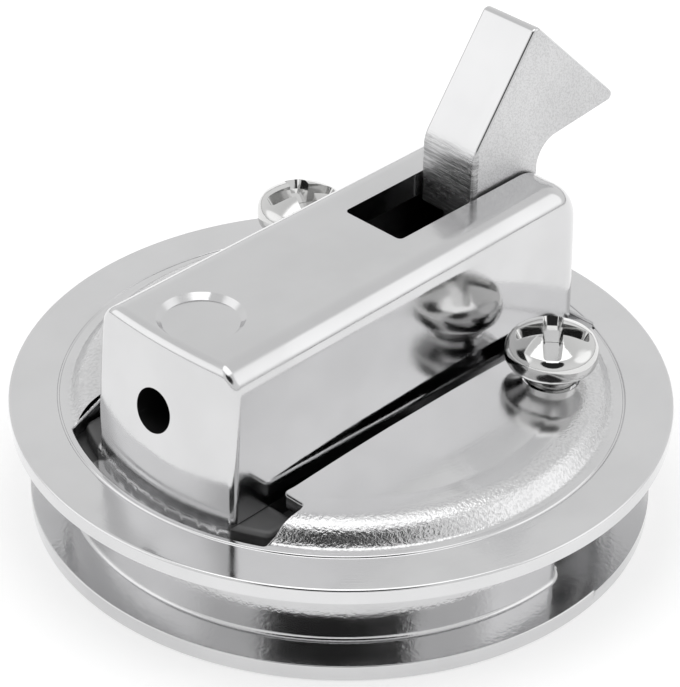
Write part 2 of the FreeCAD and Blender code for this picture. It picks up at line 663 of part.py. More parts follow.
def make_pin():
    pin = doc.addObject("Part::Cylinder", "pin_blank")
    length = "2 * (%s - sizes.pin_inset)" % FOOT_HALF_WIDTH
    pin.setExpression("Radius", S + "pin_radius")
    pin.setExpression("Height", length)
    doc.recompute()
    bevelled = doc.addObject("Part::Chamfer", "pivot_pin")
    bevelled.Label = "pivot_pin"
    bevelled.Base = pin
    bevel = value(S + "pin_bevel")
    rims = [index + 1 for index, edge in enumerate(pin.Shape.Edges) if not is_upright(edge)]
    bevelled.Edges = [(index, bevel, bevel) for index in rims]
    turn = FreeCAD.Rotation(Vector(1, 0, 0), 90)
    bevelled.Placement = FreeCAD.Placement(Vector(0, 0, 0), turn)
    bevelled.setExpression("Placement.Base.x", S + "pin_place")
    bevelled.setExpression("Placement.Base.y", "%s - sizes.pin_inset" % FOOT_HALF_WIDTH)
    bevelled.setExpression("Placement.Base.z", S + "pin_height")
    return bevelled


def make_bolt():
    """The hook-shaped slam bolt: hook, arm, one-sided hub and tail."""
    body = new_body("bolt")
    hook = new_sketch(body, "hook", "XZ_Plane")
    points = [
        (S + "bolt_face", S + "bolt_face_foot"),
        (S + "bolt_arm_x", S + "bolt_face_foot"),
        (S + "bolt_arm_x", S + "bolt_arm_foot"),
        (BOLT_BACK, S + "bolt_arm_foot"),
        (BOLT_BACK, S + "box_top"),
        (S + "bolt_throat_x", S + "bolt_throat"),
        (S + "bolt_tip_x", S + "bolt_tip"),
        (S + "bolt_crest_x", S + "bolt_crest"),
        (S + "bolt_face", S + "bolt_bend"),
    ]
    add_outline(hook, points, {4: (S + "bolt_throat_round", -1)})
    pad(body, hook, "2 * sizes.bolt_half_width", midplane=True)

    hub = new_sketch(body, "bolt_hub", "XZ_Plane", S + "hub_inner_side")
    add_circle(hub, S + "hub_radius", (S + "pin_place", S + "pin_height"))
    pad(body, hub, "sizes.bolt_half_width - sizes.hub_inner_side")
    web = new_sketch(body, "bolt_web", "XZ_Plane", S + "hub_inner_side")
    tail_under = "(sizes.tail_top - sizes.tail_thickness)"
    points = [
        (S + "tail_end", S + "tail_top"),
        (S + "tail_end", tail_under),
        ("(sizes.pin_place - sizes.hub_radius)", tail_under),
        ("(sizes.pin_place - sizes.hub_radius)", S + "pin_height"),
        ("(sizes.pin_place + sizes.hub_radius)", S + "pin_height"),
        ("(sizes.pin_place + sizes.hub_radius)", "(sizes.bolt_arm_foot + 1)"),
        (S + "bolt_arm_x", "(sizes.bolt_arm_foot + 1)"),
        (S + "bolt_arm_x", S + "tail_top"),
    ]
    add_outline(web, points)
    pad(body, web, "sizes.bolt_half_width - sizes.hub_inner_side")

    bore = new_sketch(body, "bolt_bore", "XZ_Plane")
    place = (S + "pin_place", S + "pin_height")
    add_circle(bore, "sizes.pin_radius + sizes.pin_play", place)
    pocket(body, bore, "2 * sizes.bolt_half_width", midplane=True)
    notch = new_sketch(body, "spring_notch", "XZ_Plane", "-%s - sizes.coil_start" % LEG_HOLE)
    low = "(sizes.bolt_arm_foot - 1)"
    high = "(sizes.leg_height + sizes.leg_gap)"
    left = "(%s - %s)" % (LEG_PLACE, LEG_HOLE)
    right = "(%s + %s)" % (LEG_PLACE, LEG_HOLE)
    add_rectangle(notch, left, right, low, high)
    pocket(body, notch, "2 * %s" % LEG_HOLE, reverse=True)

    def is_bend(edge):
        return all_at(edge, "x", value(S + "bolt_face")) and all_at(edge, "z", value(S + "bolt_bend"))

    def is_tip(edge):
        return all_at(edge, "x", value(S + "bolt_tip_x")) and all_at(edge, "z", value(S + "bolt_tip"))

    soften(body, "Fillet", "face_bend", S + "bolt_bend_round", is_bend)
    def is_hook_side(edge):
        at_side = near(abs(spots(edge)[1].y), value(S + "bolt_half_width"))
        above = max(spot.z for spot in spots(edge)) > value(S + "box_top") + 0.1
        return all_at(edge, "y", spots(edge)[1].y) and at_side and above

    soften(body, "Fillet", "tip_edge", S + "bolt_tip_round", is_tip)
    soften(body, "Chamfer", "hook_sides", S + "bolt_edge", is_hook_side)
    return body


def make_handle():
    """The pull: a finger plate, two arms on the pin and a catch over the bolt's tail."""
    body = new_body("handle")
    plate = new_sketch(body, "finger_plate", "XY_Plane", S + "paddle_inset")
    wide = S + "paddle_half_width"
    inner = "(%s - sizes.paddle_gap)" % CUP_END
    points = [
        ("-sizes.paddle_end", "-" + wide),
        (inner, "-" + wide),
        (inner, "-" + ARM_OUTER),
        (S + "plate_end", "-" + ARM_OUTER),
        (S + "plate_end", ARM_OUTER),
        (inner, ARM_OUTER),
        (inner, wide),
        ("-sizes.paddle_end", wide),
    ]
    add_outline(plate, points)
    pad(body, plate, S + "paddle_thickness")

    def is_outer_corner(edge):
        return is_upright(edge) and near(spots(edge)[0].x, value("-sizes.paddle_end"))

    def is_finger_edge(edge):
        return not is_upright(edge) and spots(edge)[1].x < value(inner) - 0.1

    soften(body, "Fillet", "finger_corners", S + "paddle_corner", is_outer_corner)
    soften(body, "Chamfer", "finger_edges", S + "paddle_edge", is_finger_edge)

    sides = [("right", ARM_INNER), ("left", "-" + ARM_OUTER)]
    for name, offset in sides:
        arm = new_sketch(body, name + "_arm", "XZ_Plane", offset)
        hub_top = "(sizes.pin_height + sizes.hub_radius)"
        hub_foot = "(sizes.pin_height - sizes.hub_radius)"
        add_outline(arm, [
            (S + "arm_start", S + "paddle_inset"),
            (S + "arm_foot", S + "paddle_inset"),
            (S + "pin_place", hub_foot),
            (S + "pin_place", hub_top),
            (S + "arm_start", "(%s + 1)" % PADDLE_BACK),
        ])
        pad(body, arm, S + "arm_thickness")
        eye = new_sketch(body, name + "_eye", "XZ_Plane", offset)
        add_circle(eye, S + "hub_radius", (S + "pin_place", S + "pin_height"))
        pad(body, eye, S + "arm_thickness")
    bore = new_sketch(body, "handle_bore", "XZ_Plane")
    place = (S + "pin_place", S + "pin_height")
    add_circle(bore, "sizes.pin_radius + sizes.pin_play", place)
    pocket(body, bore, "2 * " + ARM_OUTER, midplane=True)

    catch_under = "(sizes.tail_top + sizes.catch_gap)"
    catch_top = "(%s + sizes.catch_thickness)" % catch_under
    catch_far = "(sizes.catch_near + sizes.catch_length)"
    post = new_sketch(body, "catch_post", "XZ_Plane", ARM_INNER)
    add_rectangle(post, S + "catch_near", catch_far, S + "paddle_inset", catch_top)
    pad(body, post, S + "arm_thickness")
    lip = new_sketch(body, "catch_lip", "XZ_Plane", S + "catch_reach")
    add_rectangle(lip, S + "catch_near", catch_far, catch_under, catch_top)
    pad(body, lip, "%s - sizes.catch_reach" % ARM_OUTER)
    return body


def coil_places(pin):
    """Places along the coil, from the -X side of the pin and round below it."""
    steps = value(S + "coil_steps")
    radius = value(S + "coil_radius")
    places = []
    for index in range(int(round(steps * value(S + "coil_turns"))) + 1):
        angle = 2 * math.pi * index / steps
        across = value(S + "coil_start") + value(S + "coil_pitch") * index / steps
        places.append(pin + Vector(-radius * math.cos(angle), across, -radius * math.sin(angle)))
    return places


def make_spring():
    """The torsion spring on the pin, with one leg in the bolt's arm and one in the wall."""
    coil = coil_places(Vector(value(S + "pin_place"), 0, value(S + "pin_height")))
    leg_top = Vector(coil[0].x, coil[0].y, value(S + "leg_height"))
    turn = value(S + "leg_bend")
    corner = Vector(value(S + "leg_end"), coil[-1].y, coil[-1].z)
    middle = corner + Vector(turn, turn, 0) * (1 - math.sqrt(0.5))
    leg_end = Vector(corner.x, value("sizes.cavity_half_width + sizes.leg_depth"), corner.z)
    hook = [corner + Vector(turn, 0, 0), middle, corner + Vector(0, turn, 0), leg_end]
    path = Part.makePolygon([leg_top] + coil + hook)
    wire = Part.Wire(Part.makeCircle(value(S + "wire_radius"), leg_top, Vector(0, 0, -1)))
    spring = doc.addObject("Part::Feature", "bolt_spring")
    spring.Label = "bolt_spring"
    # The last number asks for mitred corners between the straight steps.
    spring.Shape = path.makePipeShell([wire], True, False, 1)
    return spring


pieces = [
    make_housing(),
    make_plate(),
    make_screw("screw_right", "-", S + "screw_lift_right", S + "screw_angle_right"),
    make_screw("screw_left", "", S + "screw_lift_left", S + "screw_angle_left"),
    make_pin(),
    make_bolt(),
    make_handle(),
    make_spring(),
]
doc.recompute()

for item in doc.Objects:
    if "Invalid" in item.State or "Error" in item.State:
        raise RuntimeError("%s did not build: %s" % (item.Name, item.State))
os.makedirs("parts", exist_ok=True)
for piece in pieces:
    if piece.Shape.isNull() or not piece.Shape.isValid():
        raise RuntimeError("%s has no valid shape" % piece.Label)
    solids = len(piece.Shape.Solids)
    print("%s: %d solid, %.1f mm3" % (piece.Label, solids, piece.Shape.Volume))
    piece.Shape.exportStep("parts/%s.step" % piece.Label)
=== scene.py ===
import math
import bpy
import numpy as np
from mathutils import Matrix, Vector
from mathutils.geometry import delaunay_2d_cdt


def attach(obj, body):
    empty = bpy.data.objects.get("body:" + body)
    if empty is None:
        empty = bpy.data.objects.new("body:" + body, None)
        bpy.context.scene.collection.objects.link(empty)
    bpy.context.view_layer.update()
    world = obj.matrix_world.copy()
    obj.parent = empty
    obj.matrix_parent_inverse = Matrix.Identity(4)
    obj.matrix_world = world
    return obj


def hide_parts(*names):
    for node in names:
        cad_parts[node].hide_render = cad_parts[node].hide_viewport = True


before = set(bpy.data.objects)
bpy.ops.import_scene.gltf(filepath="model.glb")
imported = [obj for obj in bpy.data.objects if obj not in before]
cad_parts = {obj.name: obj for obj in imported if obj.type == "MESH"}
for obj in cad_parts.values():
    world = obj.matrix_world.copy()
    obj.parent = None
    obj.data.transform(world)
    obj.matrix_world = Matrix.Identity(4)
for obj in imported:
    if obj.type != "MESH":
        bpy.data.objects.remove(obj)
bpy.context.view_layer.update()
mm = 0.001  # the sizes below are millimetres
screwSpots = ((12.5, -14.0), (11.5, 16.5))  # X and Y of the right and the left clamp screw
pinSpot = (19.5, 4.7)  # X and Z of the pivot pin
print("frame loaded")


# Helpers that make shapes from points in millimetres.


def unit(vector):
    return vector / np.linalg.norm(vector)


def roundCorners(points, radii, steps):
    # a closed outline, with an arc in place of each corner that has a radius
    result = []
    count = len(points)
    for index in range(count):
        corner = np.array(points[index], float)
        radius = radii[index]
        if radius <= 0:
            result.append(corner)
            continue
        before = unit(np.array(points[index - 1], float) - corner)
        after = unit(np.array(points[(index + 1) % count], float) - corner)
        half = math.acos(max(-1.0, min(1.0, float(before @ after)))) / 2
        centre = corner + unit(before + after) * radius / math.sin(half)
        start = corner + before * radius / math.tan(half) - centre
        end = corner + after * radius / math.tan(half) - centre
        first = math.atan2(start[1], start[0])
        turn = math.atan2(end[1], end[0]) - first
        turn = (turn + math.pi) % (2 * math.pi) - math.pi
        for step in range(steps + 1):
            angle = first + turn * step / steps
            result.append(centre + radius * np.array([math.cos(angle), math.sin(angle)]))
    return np.array(result)


def arcPoints(centre, radius, first, last, steps):
    angles = np.radians(np.linspace(first, last, steps + 1))
    return [np.array([centre[0] + radius * math.cos(a), centre[1] + radius * math.sin(a)]) for a in angles]


def circleOutline(centre, radius, steps):
    return np.array(arcPoints(centre, radius, 0, 360, steps)[:-1])


def outlineNormals(outline):
    # outward, for an outline that runs anticlockwise
    ahead = np.roll(outline, -1, axis=0) - outline
    ahead = ahead / np.linalg.norm(ahead, axis=1)[:, None]
    behind = np.roll(ahead, 1, axis=0)
    mean = ahead + behind
    mean = mean / np.linalg.norm(mean, axis=1)[:, None]
    scale = 1 / np.clip(np.sum(mean * ahead, axis=1), 0.3, 1)
    return np.stack([mean[:, 1], -mean[:, 0]], axis=1), scale


def insetOutline(outline, distance):
    normals, scale = outlineNormals(outline)
    return outline - normals * (distance * scale)[:, None]


def layOut(loop, height, plane):
    # puts a flat loop in space: plane "XY" lies level, "XZ" stands across Y
    if plane == "XY":
        return [(x, y, height) for x, y in loop]
    return [(x, height, y) for x, y in loop]


def joinLoops(loops):
    # quads between loops of the same length, and a face over each end
    count = len(loops[0])
    points = [point for loop in loops for point in loop]
    faces = []
    for level in range(len(loops) - 1):
        for index in range(count):
            after = (index + 1) % count
            low, high = level * count, (level + 1) * count
            faces.append((low + index, low + after, high + after, high + index))
    faces.append(tuple(reversed(range(count))))
    faces.append(tuple(range((len(loops) - 1) * count, len(loops) * count)))
    return points, faces


def prism(outline, low, high, edgeLow=0.0, edgeHigh=0.0, steps=4, plane="XY"):
    # an extruded outline with rounded rims
    loops = []
    if edgeLow > 0:
        for step in range(steps):
            angle = math.pi / 2 * step / steps
            loops.append((edgeLow * (1 - math.sin(angle)), low + edgeLow * (1 - math.cos(angle))))
    loops.append((0, low + edgeLow))
    loops.append((0, high - edgeHigh))
    if edgeHigh > 0:
        for step in range(1, steps + 1):
            angle = math.pi / 2 * step / steps
            loops.append((edgeHigh * (1 - math.cos(angle)), high - edgeHigh * (1 - math.sin(angle))))
    spread = [layOut(insetOutline(outline, inset), height, plane) for inset, height in loops]
    return joinLoops(spread)


def lathe(profile, segments, axis="Z"):
    # turns a profile of (radius, height) that starts and ends on the axis
    points, rings = [], []
    for radius, height in profile:
        if radius < 1e-6:
            rings.append([len(points)])
            points.append((0, 0, height))
            continue
        ring = []
        for step in range(segments):
            angle = 2 * math.pi * step / segments
            ring.append(len(points))
            points.append((radius * math.cos(angle), radius * math.sin(angle), height))
        rings.append(ring)
    faces = []
    for low, high in zip(rings, rings[1:]):
        for step in range(segments):
            after = (step + 1) % segments
            if len(low) == 1:
                faces.append((low[0], high[after], high[step]))
            elif len(high) == 1:
                faces.append((low[step], low[after], high[0]))
            else:
                faces.append((low[step], low[after], high[after], high[step]))
    if axis == "Y":
        points = [(x, z, -y) for x, y, z in points]
    if axis == "X":
        points = [(z, y, -x) for x, y, z in points]
    return points, faces


def rod(radius, length, segments, axis="Z"):
    return lathe([(0, 0), (radius, 0), (radius, length), (0, length)], segments, axis)


def moved(shape, place):
    points, faces = shape
    return [tuple(np.array(point) + np.array(place)) for point in points], faces


def makeObject(name, shape):
    points, faces = shape
    mesh = bpy.data.meshes.new(name)
    mesh.from_pydata([tuple(float(value) * mm for value in point) for point in points], [], faces)
    mesh.validate()
    item = bpy.data.objects.new(name, mesh)
    bpy.context.scene.collection.objects.link(item)
    return item


def applyAll(item):
    bpy.context.view_layer.objects.active = item
    for modifier in list(item.modifiers):
        bpy.ops.object.modifier_apply(modifier=modifier.name)


def combine(item, others, operation):
    # joins or cuts with closed shapes, which are then gone
    for number, shape in enumerate(others):
        tool = makeObject("tool_%d" % number, shape)
        turnOutward(tool)
        modifier = item.modifiers.new("combine", "BOOLEAN")
        modifier.operation = operation
        modifier.solver = "EXACT"
        modifier.object = tool
        applyAll(item)
        bpy.data.objects.remove(tool)


def turnOutward(item):
    bpy.context.view_layer.objects.active = item
    item.select_set(True)
    bpy.ops.object.mode_set(mode="EDIT")
    bpy.ops.mesh.select_all(action="SELECT")
    bpy.ops.mesh.normals_make_consistent(inside=False)
    bpy.ops.object.mode_set(mode="OBJECT")
    item.select_set(False)


softening = {"segments": 2, "flatArea": 25.0, "levelShare": 0.99999, "weight": 50}


def softenEdges(item, width, angle):
    # small roundings on every sharp edge, and shading that keeps flat faces flat
    item.data.shade_smooth()
    bevel = item.modifiers.new("edges", "BEVEL")
    bevel.width = width * mm
    bevel.segments = softening["segments"]
    bevel.limit_method = "ANGLE"
    bevel.angle_limit = math.radians(angle)
    bevel.use_clamp_overlap = True
    bevel.miter_outer = "MITER_ARC"
    applyAll(item)
    for face in item.data.polygons:
        level = max(abs(value) for value in face.normal)
        face.use_smooth = face.area < softening["flatArea"] * mm * mm and level < softening["levelShare"]
    shading = item.modifiers.new("shading", "WEIGHTED_NORMAL")
    shading.mode = "FACE_AREA"
    shading.weight = softening["weight"]
    shading.keep_sharp = True
    applyAll(item)


# Helpers that make shader nodes.


def newGroup(name, inputs, outputs):
    group = bpy.data.node_groups.new(name, "ShaderNodeTree")
    for label, kind, default in inputs:
        socket = group.interface.new_socket(label, in_out="INPUT", socket_type=kind)
        socket.default_value = default
    for label, kind in outputs:
        group.interface.new_socket(label, in_out="OUTPUT", socket_type=kind)
    entry = group.nodes.new("NodeGroupInput")
    leave = group.nodes.new("NodeGroupOutput")
    return group, entry, leave


def addNode(tree, kind, settings=None, values=None):
    node = tree.nodes.new(kind)
    for key, value in (settings or {}).items():
        setattr(node, key, value)
    for key, value in (values or {}).items():
        node.inputs[key].default_value = value
    return node


def mathNode(tree, operation, first, second=0.0, clamp=False):
    node = tree.nodes.new("ShaderNodeMath")
    node.operation = operation
    node.use_clamp = clamp
    for index, value in enumerate((first, second)):
        if isinstance(value, (int, float)):
            node.inputs[index].default_value = value
        else:
            tree.links.new(value, node.inputs[index])
    return node.outputs[0]


def rampNode(tree, source, stops):
    node = tree.nodes.new("ShaderNodeValToRGB")
    ramp = node.color_ramp
    while len(ramp.elements) < len(stops):
        ramp.elements.new(0.5)
    for element, (place, tone) in zip(ramp.elements, stops):
        element.position = place
        element.color = (tone, tone, tone, 1)
    tree.links.new(source, node.inputs["Fac"])
    return node.outputs["Color"]


def mapRange(tree, source, low, high, newLow, newHigh):
    node = addNode(tree, "ShaderNodeMapRange", {"clamp": True, "interpolation_type": "SMOOTHSTEP"})
    for label, value in (("From Min", low), ("From Max", high), ("To Min", newLow), ("To Max", newHigh)):
        if isinstance(value, (int, float)):
            node.inputs[label].default_value = value
        else:
            tree.links.new(value, node.inputs[label])
    tree.links.new(source, node.inputs["Value"])
    return node.outputs["Result"]


def noiseNode(tree, vector, scale, detail=2.0, roughness=0.5):
    node = addNode(tree, "ShaderNodeTexNoise", {"noise_dimensions": "3D"})
    node.inputs["Detail"].default_value = detail
    node.inputs["Roughness"].default_value = roughness
    if isinstance(scale, (int, float)):
        node.inputs["Scale"].default_value = scale
    else:
        tree.links.new(scale, node.inputs["Scale"])
    tree.links.new(vector, node.inputs["Vector"])
    return node.outputs["Fac"]


def placeOf(tree):
    return tree.nodes.new("ShaderNodeTexCoord").outputs["Object"]


def axesOf(tree, vector):
    parts = addNode(tree, "ShaderNodeSeparateXYZ")
    tree.links.new(vector, parts.inputs[0])
    return [parts.outputs[label] for label in "XYZ"]


def product(tree, *factors):
    result = factors[0]
    for factor in factors[1:]:
        result = mathNode(tree, "MULTIPLY", result, factor)
    return result


# What every metal here shares: the plating's waves, grain and gloss, fine rings, and worn edges.


plating = {
    "waveDetail": 1.5, "grainDetail": 3.0, "grainRoughness": 0.6,
    "cloudSize": 90.0, "cloudDetail": 4.0, "cloudRoughness": 0.55,
    "glossFrom": 0.35, "glossTo": 0.7, "toneFrom": 0.3, "toneTo": 0.75, "toneLow": 0.94,
    "ringDetail": 2.0, "edgeWidth": 0.0003, "edgeSamples": 4, "edgeSharp": 0.88, "edgeFlat": 0.995,
    "edgeGloss": -0.05, "leastRoughness": 0.03,
}


def makePlatingGroup():
    # what plating over a casting looks like: soft waves, fine grain and uneven gloss
    p = plating
    group, entry, leave = newGroup("platedCasting", [
        ("Wave Size", "NodeSocketFloat", 180.0),
        ("Wave Height", "NodeSocketFloat", 0.5),
        ("Grain Size", "NodeSocketFloat", 2600.0),
        ("Grain Height", "NodeSocketFloat", 0.2),
        ("Gloss Low", "NodeSocketFloat", 0.06),
        ("Gloss High", "NodeSocketFloat", 0.2),
    ], [("Height", "NodeSocketFloat"), ("Roughness", "NodeSocketFloat"), ("Tone", "NodeSocketFloat")])
    place = placeOf(group)
    given = entry.outputs
    wave = noiseNode(group, place, given["Wave Size"], p["waveDetail"])
    grain = noiseNode(group, place, given["Grain Size"], p["grainDetail"], p["grainRoughness"])
    cloud = noiseNode(group, place, p["cloudSize"], p["cloudDetail"], p["cloudRoughness"])
    waveHeight = mathNode(group, "MULTIPLY", wave, given["Wave Height"])
    grainHeight = mathNode(group, "MULTIPLY", grain, given["Grain Height"])
    group.links.new(mathNode(group, "ADD", waveHeight, grainHeight), leave.inputs["Height"])
    gloss = mapRange(group, cloud, p["glossFrom"], p["glossTo"], given["Gloss Low"], given["Gloss High"])
    group.links.new(gloss, leave.inputs["Roughness"])
    tone = mapRange(group, cloud, p["toneFrom"], p["toneTo"], 1.0, p["toneLow"])
    group.links.new(tone, leave.inputs["Tone"])
    return group


def makeRingsGroup():
    # fine rings about the Z axis, as left by turning and polishing
    group, entry, leave = newGroup("turnedRings", [
        ("Spacing", "NodeSocketFloat", 0.00012),
        ("Height", "NodeSocketFloat", 0.3),
    ], [("Height", "NodeSocketFloat"), ("Radius", "NodeSocketFloat")])
    x, y = axesOf(group, placeOf(group))[:2]
    radius = mathNode(group, "SQRT", mathNode(group, "ADD", product(group, x, x), product(group, y, y)))
    ring = mathNode(group, "DIVIDE", radius, entry.outputs["Spacing"])
    noise = addNode(group, "ShaderNodeTexNoise", {"noise_dimensions": "1D"},
                    {"Scale": 1.0, "Detail": plating["ringDetail"]})
    group.links.new(ring, noise.inputs["W"])
    height = mathNode(group, "MULTIPLY", noise.outputs["Fac"], entry.outputs["Height"])
    group.links.new(height, leave.inputs["Height"])
    group.links.new(radius, leave.inputs["Radius"])
    return group


def makeEdgeGroup():
    # a mask that is 1 along sharp edges and 0 on faces
    group, entry, leave = newGroup("edgeMask", [
        ("Width", "NodeSocketFloat", plating["edgeWidth"]),
    ], [("Mask", "NodeSocketFloat")])
    bevel = addNode(group, "ShaderNodeBevel", {"samples": plating["edgeSamples"]})
    group.links.new(entry.outputs["Width"], bevel.inputs["Radius"])
    geometry = group.nodes.new("ShaderNodeNewGeometry")
    dot = addNode(group, "ShaderNodeVectorMath", {"operation": "DOT_PRODUCT"})
    group.links.new(bevel.outputs[0], dot.inputs[0])
    group.links.new(geometry.outputs["Normal"], dot.inputs[1])
    mask = mapRange(group, dot.outputs["Value"], plating["edgeSharp"], plating["edgeFlat"], 1.0, 0.0)
    group.links.new(mask, leave.inputs["Mask"])
    return group


platingGroup = makePlatingGroup()
ringsGroup = makeRingsGroup()
edgeGroup = makeEdgeGroup()


def placeGroup(tree, group, values):
    node = tree.nodes.new("ShaderNodeGroup")
    node.node_tree = group
    for key, value in values.items():
        node.inputs[key].default_value = value
    return node


matte = {"detail": 2.0, "roughness": 0.6, "darkFrom": 0.36, "darkTo": 0.58}


def addMatte(tree, look, height, roughness, tint):
    # pebbly, duller and darker where the zone's mask is 1
    mask = look["matteZone"](tree)
    pebbles = noiseNode(tree, placeOf(tree), look["matteGrain"], matte["detail"], matte["roughness"])
    height = mathNode(tree, "ADD", height, product(tree, pebbles, look["matteHeight"], mask))
    roughness = mathNode(tree, "ADD", roughness, product(tree, mask, look["matteGloss"]))
    speckle = mapRange(tree, pebbles, matte["darkFrom"], matte["darkTo"], look["matteTone"], 0.0)
    return height, roughness, mathNode(tree, "SUBTRACT", tint, product(tree, mask, speckle), True)


scratches = {
    "lean": 3.0, "stretch": (0.002, 0.0022, 0.00013), "detail": 3.0, "roughness": 0.65, "gloss": 0.12,
    "wornFrom": 0.4, "wornTo": 0.62, "worn": 0.4,
}


def addScratches(tree, look, height, roughness, tint):
    # level scratches that have worn the plating
    s = scratches
    mask = look["scratchZone"](tree)
    turned = addNode(tree, "ShaderNodeMapping", {"vector_type": "TEXTURE"}, {
        "Rotation": (math.radians(s["lean"]), 0, 0), "Scale": s["stretch"],
    })
    tree.links.new(placeOf(tree), turned.inputs["Vector"])
    lines = noiseNode(tree, turned.outputs[0], 1.0, s["detail"], s["roughness"])
    height = mathNode(tree, "ADD", height, product(tree, mask, lines))
    roughness = mathNode(tree, "ADD", roughness, product(tree, mask, s["gloss"]))
    worn = mapRange(tree, lines, s["wornFrom"], s["wornTo"], s["worn"], 0.0)
    return height, roughness, mathNode(tree, "SUBTRACT", tint, product(tree, mask, worn), True)


def addRings(tree, look, height):
    rings = placeGroup(tree, ringsGroup, {"Spacing": look["ringSpacing"], "Height": look["ringHeight"]})
    return mathNode(tree, "ADD", height, rings.outputs["Height"])


def addPaintedShade(tree, look, roughness, tint):
    # painted shade where the zone's mask is 1, with rougher metal there
    inside = look["paintedShadeZone"](tree)
    roughness = mathNode(tree, "ADD", roughness, product(tree, inside, look["darkRoughness"]))
    return roughness, mathNode(tree, "SUBTRACT", tint, product(tree, inside, look["paintedShadeDepth"]), True)


def colorOf(tree, look, tint):
    color = addNode(tree, "ShaderNodeMix", {"data_type": "RGBA", "blend_type": "MULTIPLY"}, {0: 1.0})
    color.inputs[6].default_value = (*look["color"], 1)
    tone = addNode(tree, "ShaderNodeCombineColor")
    for index in range(3):
        tree.links.new(tint, tone.inputs[index])
    tree.links.new(tone.outputs[0], color.inputs[7])
    return color.outputs[2]


def metalMaterial(name, look):
    # a metal: look holds its colour, gloss and grain, and the zones that it has
    material = bpy.data.materials.new(name)
    material.use_nodes = True
    tree = material.node_tree
    shader = tree.nodes["Principled BSDF"]
    shader.inputs["Metallic"].default_value = 1.0
    coat = placeGroup(tree, platingGroup, {
        "Wave Size": look["waveSize"], "Wave Height": look["waveHeight"],
        "Grain Size": look["grainSize"], "Grain Height": look["grainHeight"],
        "Gloss Low": look["glossLow"], "Gloss High": look["glossHigh"],
    })
    height, roughness, tint = (coat.outputs[label] for label in ("Height", "Roughness", "Tone"))
    if "ringHeight" in look:
        height = addRings(tree, look, height)
    if "matteZone" in look:
        height, roughness, tint = addMatte(tree, look, height, roughness, tint)
    if "scratchZone" in look:
        height, roughness, tint = addScratches(tree, look, height, roughness, tint)
    # painted shade, where the look has a zone for it
    if "paintedShadeZone" in look:
        roughness, tint = addPaintedShade(tree, look, roughness, tint)
    edge = placeGroup(tree, edgeGroup, {})
    smoother = mathNode(tree, "MULTIPLY", edge.outputs["Mask"], plating["edgeGloss"])
    roughness = mathNode(tree, "ADD", roughness, smoother)
    roughness = mathNode(tree, "MAXIMUM", roughness, plating["leastRoughness"])
    tree.links.new(roughness, shader.inputs["Roughness"])
    tree.links.new(colorOf(tree, look, tint), shader.inputs["Base Color"])
    bump = addNode(tree, "ShaderNodeBump", None, {"Strength": 1.0, "Distance": look["bumpDepth"]})
    tree.links.new(height, bump.inputs["Height"])
    tree.links.new(bump.outputs["Normal"], shader.inputs["Normal"])
    return material


# Zones: each gives a mask that is 1 where a finish or painted shade lies. Sizes are millimetres.


shoulderZone = {"low": 22.2, "high": 24.3, "fadeIn": 1.0, "fadeOut": 0.6}
faceZone = {"from": 0.75, "to": 0.97}
grainTop = 9.6
frontZone = {"farX": 14.0, "low": 29.5, "high": 31.5}
# where the painted shade lies in the box, the bore and the slot, and how dark it is
boxShade = {
    "lowX": -19.63, "highX": 22.45, "half": 5.03, "top": 24.13,
    "shareFrom": 0.0, "shareTo": 5.0, "shadeUnderWindow": 0.6,
}
boreShade = {"radius": 2.03, "height": 19.6, "depth": -19.43}
slotShade = {
    "height": 10.56, "reach": 0.94, "paintedShadeDepth": 0.1, "lugShade": 0.85, "lugFrom": 8.0, "lugTo": 8.5,
}


def inShoulder(tree):
    # the plate between two radii
    z = shoulderZone
    radius = placeGroup(tree, ringsGroup, {}).outputs["Radius"]
    inner = mapRange(tree, radius, (z["low"] - z["fadeIn"]) * mm, z["low"] * mm, 0.0, 1.0)
    outer = mapRange(tree, radius, z["high"] * mm, (z["high"] + z["fadeOut"]) * mm, 1.0, 0.0)
    return product(tree, inner, outer)


def onSides(tree):
    # the faces that look along Y
    sideways = axesOf(tree, tree.nodes.new("ShaderNodeTexCoord").outputs["Normal"])[1]
    return mapRange(tree, mathNode(tree, "ABSOLUTE", sideways), faceZone["from"], faceZone["to"], 0.0, 1.0)


def belowGrainTop(tree):
    return mathNode(tree, "LESS_THAN", axesOf(tree, placeOf(tree))[2], grainTop * mm)


def onFront(tree):
    # the lower front face of the bolt
    x, z = axesOf(tree, placeOf(tree))[::2]
    near = mathNode(tree, "LESS_THAN", x, frontZone["farX"] * mm)
    return product(tree, near, mapRange(tree, z, frontZone["low"] * mm, frontZone["high"] * mm, 1.0, 0.0))


def shadeInBox(tree, x, y, z):
    # painted shade inside the box's hollow, less dark under the window where light comes in
    b = boxShade
    return product(
        tree,
        mathNode(tree, "LESS_THAN", mathNode(tree, "ABSOLUTE", y), b["half"] * mm),
        mathNode(tree, "LESS_THAN", z, b["top"] * mm),
        mathNode(tree, "GREATER_THAN", x, b["lowX"] * mm),
        mathNode(tree, "LESS_THAN", x, b["highX"] * mm),
        mapRange(tree, x, b["shareFrom"] * mm, b["shareTo"] * mm, 1.0, b["shadeUnderWindow"]),
    )


def shadeInBore(tree, x, y, z):
    # painted shade in the bore of the hole in the end of the box
    upward = mathNode(tree, "SUBTRACT", z, boreShade["height"] * mm)
    square = mathNode(tree, "ADD", product(tree, y, y), product(tree, upward, upward))
    bore = mathNode(tree, "LESS_THAN", mathNode(tree, "SQRT", square), boreShade["radius"] * mm)
    return product(tree, bore, mathNode(tree, "LESS_THAN", x, boreShade["depth"] * mm))


def shadeInSlot(tree, y, z):
    # painted shade on what lies deep in the plate's slot: a little darker, and dark on the lugs
    s = slotShade
    offset = mathNode(tree, "ABSOLUTE", mathNode(tree, "SUBTRACT", z, s["height"] * mm))
    deep = mathNode(tree, "LESS_THAN", offset, s["reach"] * mm)
    beside = mathNode(tree, "ABSOLUTE", y)
    return product(tree, deep, mapRange(tree, beside, s["lugFrom"] * mm, s["lugTo"] * mm,
                                        s["paintedShadeDepth"], s["lugShade"]))
